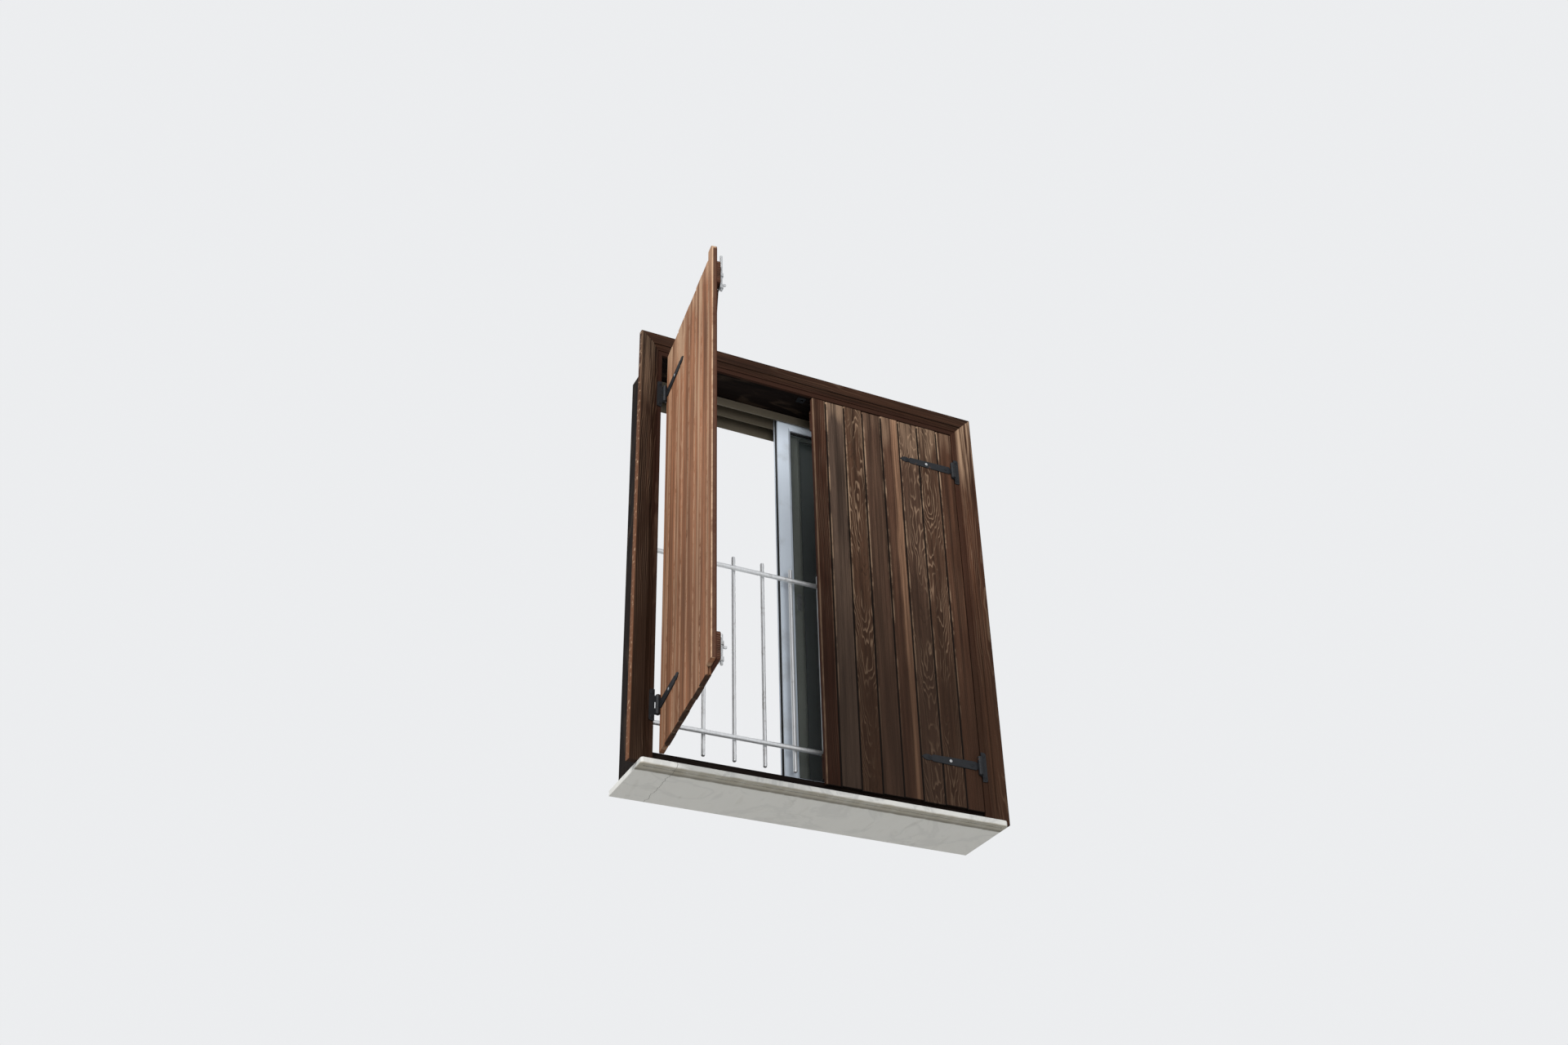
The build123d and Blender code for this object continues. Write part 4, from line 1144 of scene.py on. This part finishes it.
class WINDOW_OT_stage(WindowStep, bpy.types.Operator):
    """Sets the floor, the light and the camera"""
    bl_idname = "window.stage"
    bl_label = "Stage"
    floor_size = 60.0
    floor_roughness = 0.9
    sky = (0.94, 0.97, 1.0)
    sky_strength = 0.50
    clip_end = 200.0
    lamp_list = (  # name, place, size and power
        ("key", (-5.2, -3.6, 3.6), 3.0, 420.0),
        ("fill", (-1.0, -6.2, -0.2), 3.5, 105.0),
        ("back", (2.5, 4.5, 3.5), 3.0, 120.0),
    )

    def execute(self, context):
        stage = context.scene.window_stage
        self.floor(stage)
        self.surround(context.scene, stage)
        self.lamps()
        self.camera(context.scene, stage)
        context.scene.view_settings.view_transform = "Standard"
        return {"FINISHED"}

    def floor(self, stage):
        deselect_all()
        bpy.ops.mesh.primitive_plane_add(size=self.floor_size, location=(0.0, 0.0, -stage.floor_drop))
        plane = bpy.context.object
        plane.name = "studio_floor"
        graph = Graph("studio_floor")
        graph.surface(stage.floor, self.floor_roughness)
        plane.data.materials.append(graph.material)

    def surround(self, scene, stage):
        """A soft sky, which camera, metal and glass see as the pale backdrop."""
        scene.world = bpy.data.worlds.new("studio")
        graph = Graph("studio", world=scene.world)
        graph.tree.nodes.clear()
        light = graph.add("ShaderNodeBackground", None,
                          {"Color": opaque(self.sky), "Strength": self.sky_strength})
        seen = graph.add("ShaderNodeBackground", None, {"Color": opaque(stage.backdrop)})
        direct, glossy, through = [graph.add("ShaderNodeLightPath", output="Is %s Ray" % kind)
                                   for kind in ("Camera", "Glossy", "Transmission")]
        any_view = graph.maths("MAXIMUM", graph.maths("MAXIMUM", direct, glossy), through)
        mix = graph.add("ShaderNodeMixShader", None, {0: any_view, 1: light, 2: seen})
        graph.add("ShaderNodeOutputWorld", None, {"Surface": mix})

    def lamps(self):
        target = (CAD_BOX[0] + CAD_BOX[1]) / 2
        for name, place, size, power in self.lamp_list:
            lamp = bpy.data.lights.new(name, "AREA")
            lamp.energy = power
            lamp.size = size
            holder = bpy.data.objects.new(name, lamp)
            holder.location = place
            holder.rotation_euler = (target - Vector(place)).to_track_quat("-Z", "Y").to_euler()
            bpy.context.scene.collection.objects.link(holder)

    def camera(self, scene, stage):
        camera = bpy.data.cameras.new("camera")
        camera.lens = stage.lens
        camera.clip_end = self.clip_end
        holder = bpy.data.objects.new("camera", camera)
        scene.collection.objects.link(holder)
        turn = (Matrix.Rotation(-stage.yaw, 4, "Z") @ Matrix.Rotation(pi / 2 + stage.pitch, 4, "X")
                @ Matrix.Rotation(-stage.roll, 4, "Z"))
        holder.matrix_world = Matrix.Translation(stage.camera_place) @ turn
        scene.camera = holder


STEPS = (
    WINDOW_OT_boards, WINDOW_OT_ledges, WINDOW_OT_joinery, WINDOW_OT_sill, WINDOW_OT_guard,
    WINDOW_OT_window, WINDOW_OT_hinges, WINDOW_OT_bolts, WINDOW_OT_ledge_screws, WINDOW_OT_stage,
)
GROUPS = {
    "window_timber": WINDOW_PG_timber,
    "window_metal": WINDOW_PG_metal,
    "window_mineral": WINDOW_PG_mineral,
    "window_fixings": WINDOW_PG_fixings,
    "window_stage": WINDOW_PG_stage,
}


class WINDOW_PT_steps(bpy.types.Panel):
    """Lists the steps that dress the window"""
    bl_idname = "WINDOW_PT_steps"
    bl_label = "Window with shutters"
    bl_space_type = "VIEW_3D"
    bl_region_type = "UI"
    bl_category = "Window"

    def draw(self, context):
        for name, group in GROUPS.items():
            settings = getattr(context.scene, name)
            box = self.layout.box()
            for key in group.__annotations__:
                box.prop(settings, key)
        for step in STEPS:
            self.layout.operator(step.bl_idname)


def register():
    for name, group in GROUPS.items():
        bpy.utils.register_class(group)
        setattr(bpy.types.Scene, name, bpy.props.PointerProperty(type=group))
    for step in STEPS:
        bpy.utils.register_class(step)
    bpy.utils.register_class(WINDOW_PT_steps)


def unregister():
    bpy.utils.unregister_class(WINDOW_PT_steps)
    for step in reversed(STEPS):
        bpy.utils.unregister_class(step)
    for name, group in reversed(GROUPS.items()):
        delattr(bpy.types.Scene, name)
        bpy.utils.unregister_class(group)


def main():
    register()
    bpy.ops.window.boards()
    bpy.ops.window.ledges()
    bpy.ops.window.joinery()
    bpy.ops.window.sill()
    bpy.ops.window.guard()
    bpy.ops.window.sliding_window()
    bpy.ops.window.hinges()
    bpy.ops.window.bolts()
    bpy.ops.window.ledge_screws()
    bpy.ops.window.stage()


if __name__ == "__main__":
    main()
